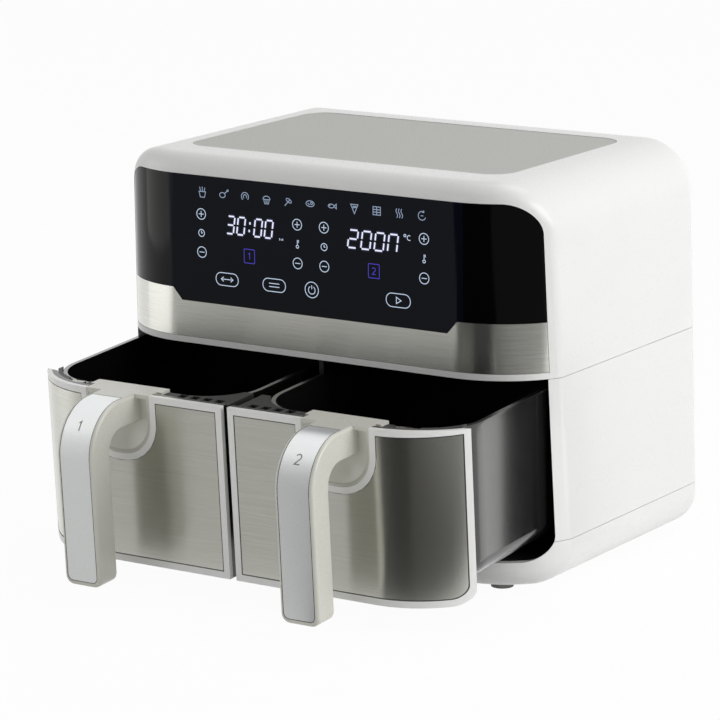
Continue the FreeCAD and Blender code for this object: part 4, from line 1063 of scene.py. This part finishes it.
@dataclass
class DrawerTrim:
    """The moulded dish behind a handle's root, the numeral on its inlay and the shadow gaps, in drawer places.

    A drawer place is X, the depth behind the front's top edge and the height above it, before the drawer is
    tipped. Sizes are in millimetres and degrees.
    """

    finishes: Finishes
    side: Side
    front: DrawerFront = DrawerFront()
    # The handle's middle, the radius of its bend and its reach
    handle_x: float = 96.5
    bend: float = 38.0
    reach: float = 56.0
    # The dish, and its steps down an upright run, round a quarter circle and in to its spine
    dish_half: float = 27.2
    dish_top: float = -1.3
    dish_turn: float = -21.0
    dish_round: float = 24.7
    dish_rim: float = 0.4
    dish_deep: float = 7.3
    dish_back: float = 7.9
    dish_power: float = 2.2
    dish_steps: tuple[int, int, int] = (8, 20, 14)
    # The steel front's edge, with the scoop at its top
    wrap: float = 58.5
    half_gap: float = 2.8
    front_height: float = 133.0
    corner: float = 12.0
    border: float = 5.55
    border_end: float = 3.3
    scoop_half: float = 28.5
    scoop_depth: float = 47.0
    scoop_round: float = 26.0
    steel_sink: float = 0.13
    # The inlay's strip
    strip_start: float = 12.0
    strip_half: float = 13.45
    strip_foot: float = 131.4
    strip_corner: float = 4.5
    # The painted shadow lines over the joints, and the numeral
    thin: float = 0.06
    gap_width: float = 0.7
    strip_gap_width: float = 0.55
    step: float = 2.0
    numeral_angle: float = 50.0
    numeral_half: float = 3.9
    numeral_stroke: float = 0.9

    @property
    def body(self) -> str:
        """The drawer's body in the frame."""
        return f"drawer_{self.side.word}"

    @property
    def top_run(self) -> float:
        """The inlay's straight length before the bend."""
        return self.reach - self.bend - self.strip_start

    def build(self) -> None:
        """Builds the dish, the numeral, and painted shadow lines over the joints round the steel front and the
        inlay.
        """
        make_piece(f"handle_dish_{self.side.word}", self.dish().placed(self.hang), self.finishes.ivory, self.body,
                   "ivory_handle", smooth=True)
        ink, gap = self.finishes.ink, self.finishes.shadow_gap
        self.trim("handle_numeral", self.mark(), self.numeral_stroke, self.on_strip, ink, "inlay")
        # Painted shadow: dark lines, wider than the real gaps, laid over the joints round the steel front and the
        # inlay
        self.trim("front_joint_shadow", [self.steel_edge()], self.gap_width, self.on_front, gap, "white_frame")
        self.trim("inlay_joint_shadow", [self.strip_edge()], self.strip_gap_width, self.on_strip, gap, "ivory_handle")

    def trim(self, name: str, strokes: list[Stroke], width: float, place: Place, finish: Finish,
             slot: str) -> None:
        """Makes a thin piece from strokes laid on one of the drawer's surfaces."""
        surface = ribbons(finely(strokes, self.step), width, self.thin).placed(place).placed(self.hang)
        make_piece(f"{name}_{self.side.word}", surface, finish, self.body, slot)

    def hang(self, points: np.ndarray) -> np.ndarray:
        """Maps drawer places to the frame: tipped by the drawer's tilt and moved to its rest.

        Args:
            points: The drawer places.

        Returns:
            Their places in the frame.
        """
        cosine, sine = math.cos(math.radians(self.front.tilt)), math.sin(math.radians(self.front.tilt))
        x, deep, up = points.T
        return np.stack([x * self.side.sign, self.front.y + deep * cosine - up * sine,
                         self.front.top_z + deep * sine + up * cosine], 1)

    def on_strip(self, points: np.ndarray) -> np.ndarray:
        """Rolls flat places along the handle: straight out, round the bend and straight down.

        The second place is the length along the inlay. Up to the bend the height is upwards, round it the height
        adds to the bend's radius, and below it the height is towards the front.

        Args:
            points: The flat places, with a height above the inlay.

        Returns:
            The drawer places.
        """
        across, along, height = points.T
        height = height - self.thin
        angle = np.clip((along - self.top_run) / self.bend, 0, math.pi / 2)
        down = np.clip(along - self.top_run - self.bend * math.pi / 2, 0, None)
        out = self.strip_start + np.clip(along, None, self.top_run) + (self.bend + height) * np.sin(angle)
        up = (self.bend + height) * np.cos(angle) - self.bend - down
        return np.stack([self.handle_x + across, -out, up], 1)

    def on_front(self, points: np.ndarray) -> np.ndarray:
        """Bends flat places along the front's curve: straight across, then back round the corner's radius.

        Args:
            points: The flat places, with a height above the steel.

        Returns:
            The drawer places.
        """
        x, up, height = points.T
        radius = self.front.radius - self.steel_sink + height
        past = np.clip(x - self.front.flat, 0, None)
        return np.stack([x, self.front.radius - np.sqrt(radius ** 2 - past ** 2), up], 1)

    def mark(self) -> list[Stroke]:
        """Draws the drawer's number on the inlay's bend.

        Returns:
            Its strokes, along the inlay. The hang turns a left drawer's X round, so its strokes are mirrored here.
        """
        middle = self.bend * math.radians(self.numeral_angle) + self.top_run
        strokes = moved(numeral(self.side.digit), 0.0, 0.0, self.numeral_half)
        return [(path * (self.side.sign, -1) + (0.0, middle), closed) for path, closed in strokes]

    def steel_edge(self) -> Stroke:
        """Draws the edge of the steel seen from the front, with the scoop at its top.

        Returns:
            The closed stroke.
        """
        end = self.front.flat + self.front.radius * math.sin(math.radians(self.wrap)) - self.border_end
        start = self.half_gap + self.border
        low, top = self.border - self.front_height, -self.border
        corner = self.corner - self.border / 2
        radius = self.scoop_round + self.border
        middle = self.scoop_half - self.scoop_round
        turn = self.scoop_round - self.scoop_depth
        right, left = self.handle_x + middle, self.handle_x - middle
        return loop((start, low), *arc(end - corner, low + corner, corner, 270, 360)[0], (end, top),
                    (right + radius, top), *arc(right, turn, radius, 0, -90)[0],
                    *arc(left, turn, radius, 270, 180)[0], (left - radius, top), (start, top))

    def strip_edge(self) -> Stroke:
        """Draws the inlay's edge, with round corners at its foot.

        Returns:
            The closed stroke.
        """
        foot = self.top_run + self.bend * math.pi / 2 + self.strip_foot - self.bend
        side, corner = self.strip_half, self.strip_corner
        return loop((-side, 0.0), *arc(corner - side, foot - corner, corner, 180, 90)[0],
                    *arc(side - corner, foot - corner, corner, 90, 0)[0], (side, 0.0))

    def dish(self) -> Surface:
        """Shapes the dish as a function of the way round its edge and the share of the way in to its spine.

        The edge is a U of two upright runs and two quarter circles. Each place on it runs in a straight line to
        the upright spine, and the depth grows by one minus a power of the share that is left. A flat back with the
        same grid closes it.

        Returns:
            The closed dish, in drawer places.
        """
        down, round_corner, inwards = self.dish_steps
        flat = self.dish_half - self.dish_round
        upright = np.linspace(self.dish_top, self.dish_turn, down, endpoint=False)
        angles = np.radians(np.linspace(180, 270, round_corner))
        edge_x = np.concatenate([np.full(down, -self.dish_half), -flat + self.dish_round * np.cos(angles)])
        edge_w = np.concatenate([upright, self.dish_turn + self.dish_round * np.sin(angles)])
        edge_x = np.concatenate([edge_x, -edge_x[::-1]])
        edge_w = np.concatenate([edge_w, edge_w[::-1]])
        share = np.linspace(0, 1, inwards)
        x = edge_x[:, None] * (1 - share)
        w = edge_w[:, None] * (1 - share) + np.maximum(edge_w, self.dish_turn)[:, None] * share
        deep = self.dish_rim + self.dish_deep * (1 - (1 - share) ** self.dish_power)
        front = np.stack([x + self.handle_x, np.broadcast_to(deep, x.shape), w], -1)
        back = np.stack([x + self.handle_x, np.full(x.shape, self.dish_back), w], -1)
        count = x.size
        grid = np.arange(count).reshape(x.shape)
        sheet = np.stack([grid[:-1, :-1], grid[1:, :-1], grid[1:, 1:], grid[:-1, 1:]], -1).reshape(-1, 4)
        rims = [np.stack([row[:-1], row[1:], row[1:] + count, row[:-1] + count], -1)
                for row in (grid[:, 0], grid[0], grid[-1])]
        points = np.concatenate([front.reshape(-1, 3), back.reshape(-1, 3)])
        faces = np.concatenate([sheet, sheet[:, ::-1] + count, *rims])
        return Surface(points, faces, np.zeros(len(points)))


# Studio

@dataclass(frozen=True)
class Softbox:
    """A square soft lamp: its place and aim in metres, the length of its side and its power in watts."""

    name: str
    place: Point
    aim: Point
    size: float
    watts: float


@dataclass
class Studio:
    """A pale floor, soft lamps, cards and mats for the metal to mirror, and the camera at the photograph's view.

    Sizes are in metres and degrees, apart from those that end in px and mm.
    """

    floor_half: float = 9.0
    fill: float = 0.34
    lamps: tuple[Softbox, ...] = (
        Softbox("side_softbox", (2.1, 0.35, 0.9), (0.0, 0.05, 0.15), 1.3, 23.0),
        Softbox("top_softbox", (0.3, 0.6, 2.2), (0.0, 0.05, 0.3), 1.6, 11.5),
        Softbox("front_softbox", (-0.9, -2.4, 0.62), (0.0, -0.1, 0.15), 1.2, 6.0))
    # The mats from left to right with their brightness, then their near and far corners
    mats: tuple[tuple[str, float], ...] = (("grey", 0.56), ("dark", 0.045), ("pale", 0.32))
    mats_near: tuple[Flat, ...] = ((-0.40, -0.19), (0.115, -0.19), (0.46, -0.13), (0.50, -0.06))
    mats_far: tuple[Flat, ...] = ((-0.93, -0.95), (-0.62, -1.43), (0.50, -1.45), (1.50, -0.40))
    mat_z: float = 0.001
    card_top: float = 1.5
    # The cards at the sides: name, first and last place on the floor, top and brightness
    side_cards: tuple[tuple[str, Flat, Flat, float, float], ...] = (
        ("white_card", (-1.45, -0.15), (-1.0, -0.95), 1.0, 1.9),
        ("bright_card", (0.25, -0.05), (0.25, 0.04), 0.12, 1.8),
        ("side_card", (0.25, 0.04), (0.25, 0.12), 0.16, 0.0))
    # The camera
    lens_px: float = 3738.5
    frame_px: float = 720.0
    sensor_mm: float = 36.0
    camera_place: Point = (1.5350, -2.3154, 0.7866)
    azimuth: float = 33.33
    elevation: float = 12.83
    roll: float = -0.67

    def build(self) -> None:
        """Builds the camera, world, floor, lamps and cards."""
        self.camera()
        self.world()
        reach = self.floor_half
        corners = [(-reach, -reach, 0), (reach, -reach, 0), (reach, reach, 0), (-reach, reach, 0)]
        floor = self.sheet("floor", corners, FloorPaper("floor_paper_white"))
        for softbox in self.lamps:
            self.lamp(softbox)
        self.cards()
        bpy.context.scene.view_settings.view_transform = "Standard"

    def cards(self) -> None:
        """Lays mats in front of the object, stands a card at the far edge of each and three more at the sides.

        The flat fronts mirror the mats, and the left ends mirror the white card. The right basket's wall fades
        from the bright card at its front to the side card, which is black.
        """
        for number, (name, level) in enumerate(self.mats):
            first, last = self.mats_far[number:number + 2]
            corners = (self.mats_near[number], first, last, self.mats_near[number + 1])
            self.card(f"{name}_mat", [(*corner, self.mat_z) for corner in corners], level)
            self.upright(f"{name}_card", first, last, self.card_top, level)
        for side_card in self.side_cards:
            self.upright(*side_card)

    def upright(self, name: str, first: Flat, last: Flat, top: float, level: float) -> None:
        """Stands a card on the floor between two places, up to a top."""
        self.card(name, [(*first, 0.0), (*last, 0.0), (*last, top), (*first, top)], level)

    def card(self, name: str, corners: list[Point], level: float) -> None:
        """Sets a card beside the view, seen only in reflections.

        Args:
            name: The card's name.
            corners: Its corners in order, in metres.
            level: Its brightness, where 1 is white.
        """
        card = self.sheet(name, corners, CardPaper(f"{name}_paper", level))
        card.visible_camera = False
        card.visible_diffuse = False
        card.visible_shadow = False
        card.visible_transmission = False

    @staticmethod
    def sheet(name: str, corners: list[Point], finish: Finish) -> bpy.types.Object:
        """Sets up a flat sheet.

        Args:
            name: The sheet's name.
            corners: Its corners in order, in metres.
            finish: What it wears.

        Returns:
            The sheet.
        """
        data = bpy.data.meshes.new(name)
        data.from_pydata(corners, [], [tuple(range(len(corners)))])
        data.materials.append(finish.material())
        sheet = bpy.data.objects.new(name, data)
        bpy.context.scene.collection.objects.link(sheet)
        return sheet

    @staticmethod
    def stand(data: bpy.types.ID, place: Point, axes: list[np.ndarray]) -> bpy.types.Object:
        """Stands a camera or a lamp at a place.

        Args:
            data: The camera or lamp.
            place: Its place in metres.
            axes: The directions of its own X, Y and Z.

        Returns:
            The object.
        """
        matrix = np.eye(4)
        matrix[:3, :3] = np.stack(axes, 1)
        matrix[:3, 3] = place
        thing = bpy.data.objects.new(data.name, data)
        thing.matrix_world = Matrix(matrix.tolist())
        bpy.context.scene.collection.objects.link(thing)
        return thing

    def camera(self) -> None:
        """Sets the camera by its turn round the object, its height angle and a slight roll."""
        turn, rise, roll = (math.radians(angle) for angle in (self.azimuth, self.elevation, self.roll))
        back = np.array([math.sin(turn) * math.cos(rise), -math.cos(turn) * math.cos(rise), math.sin(rise)])
        right = np.array([math.cos(turn), math.sin(turn), 0.0])
        up = np.cross(back, right)
        across = math.cos(roll) * right + math.sin(roll) * up
        upward = math.cos(roll) * up - math.sin(roll) * right
        data = bpy.data.cameras.new("camera")
        data.sensor_width = self.sensor_mm
        data.lens = self.lens_px / self.frame_px * self.sensor_mm
        bpy.context.scene.camera = self.stand(data, self.camera_place, [across, upward, back])

    def lamp(self, softbox: Softbox) -> None:
        """Hangs a soft lamp at its place, facing its aim.

        Args:
            softbox: The lamp's sizes.
        """
        data = bpy.data.lights.new(softbox.name, "AREA")
        data.size = softbox.size
        data.energy = softbox.watts
        back = np.array(softbox.place) - np.array(softbox.aim)
        back /= np.linalg.norm(back)
        right = np.cross((0.0, 0.0, 1.0), back)
        right /= np.linalg.norm(right)
        self.stand(data, softbox.place, [right, np.cross(back, right), back])

    def world(self) -> None:
        """Sets an even fill that shows as white."""
        world = bpy.data.worlds.new("studio")
        world.use_nodes = True
        tree = world.node_tree
        tree.nodes.clear()
        fill = add(tree, "Background", {"Color": WHITE, "Strength": self.fill})
        white = add(tree, "Background", {"Color": WHITE, "Strength": 1.0})
        both = add(tree, "MixShader", {0: seen(tree), 1: fill, 2: white})
        add(tree, "OutputWorld", {"Surface": both})
        bpy.context.scene.world = world


def main() -> None:
    """Loads the frame, dresses it, and builds the pieces and the studio."""
    logging.basicConfig(level=logging.INFO, format="%(name)s: %(message)s")
    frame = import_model()
    finishes = Finishes()
    Dressing(frame["nodes"], finishes).dress()
    PanelPrint(finishes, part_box("control_panel")[0].y / MM).build()
    for side in Side:
        DrawerTrim(finishes, side).build()
    Studio().build()


if __name__ == "__main__":
    main()
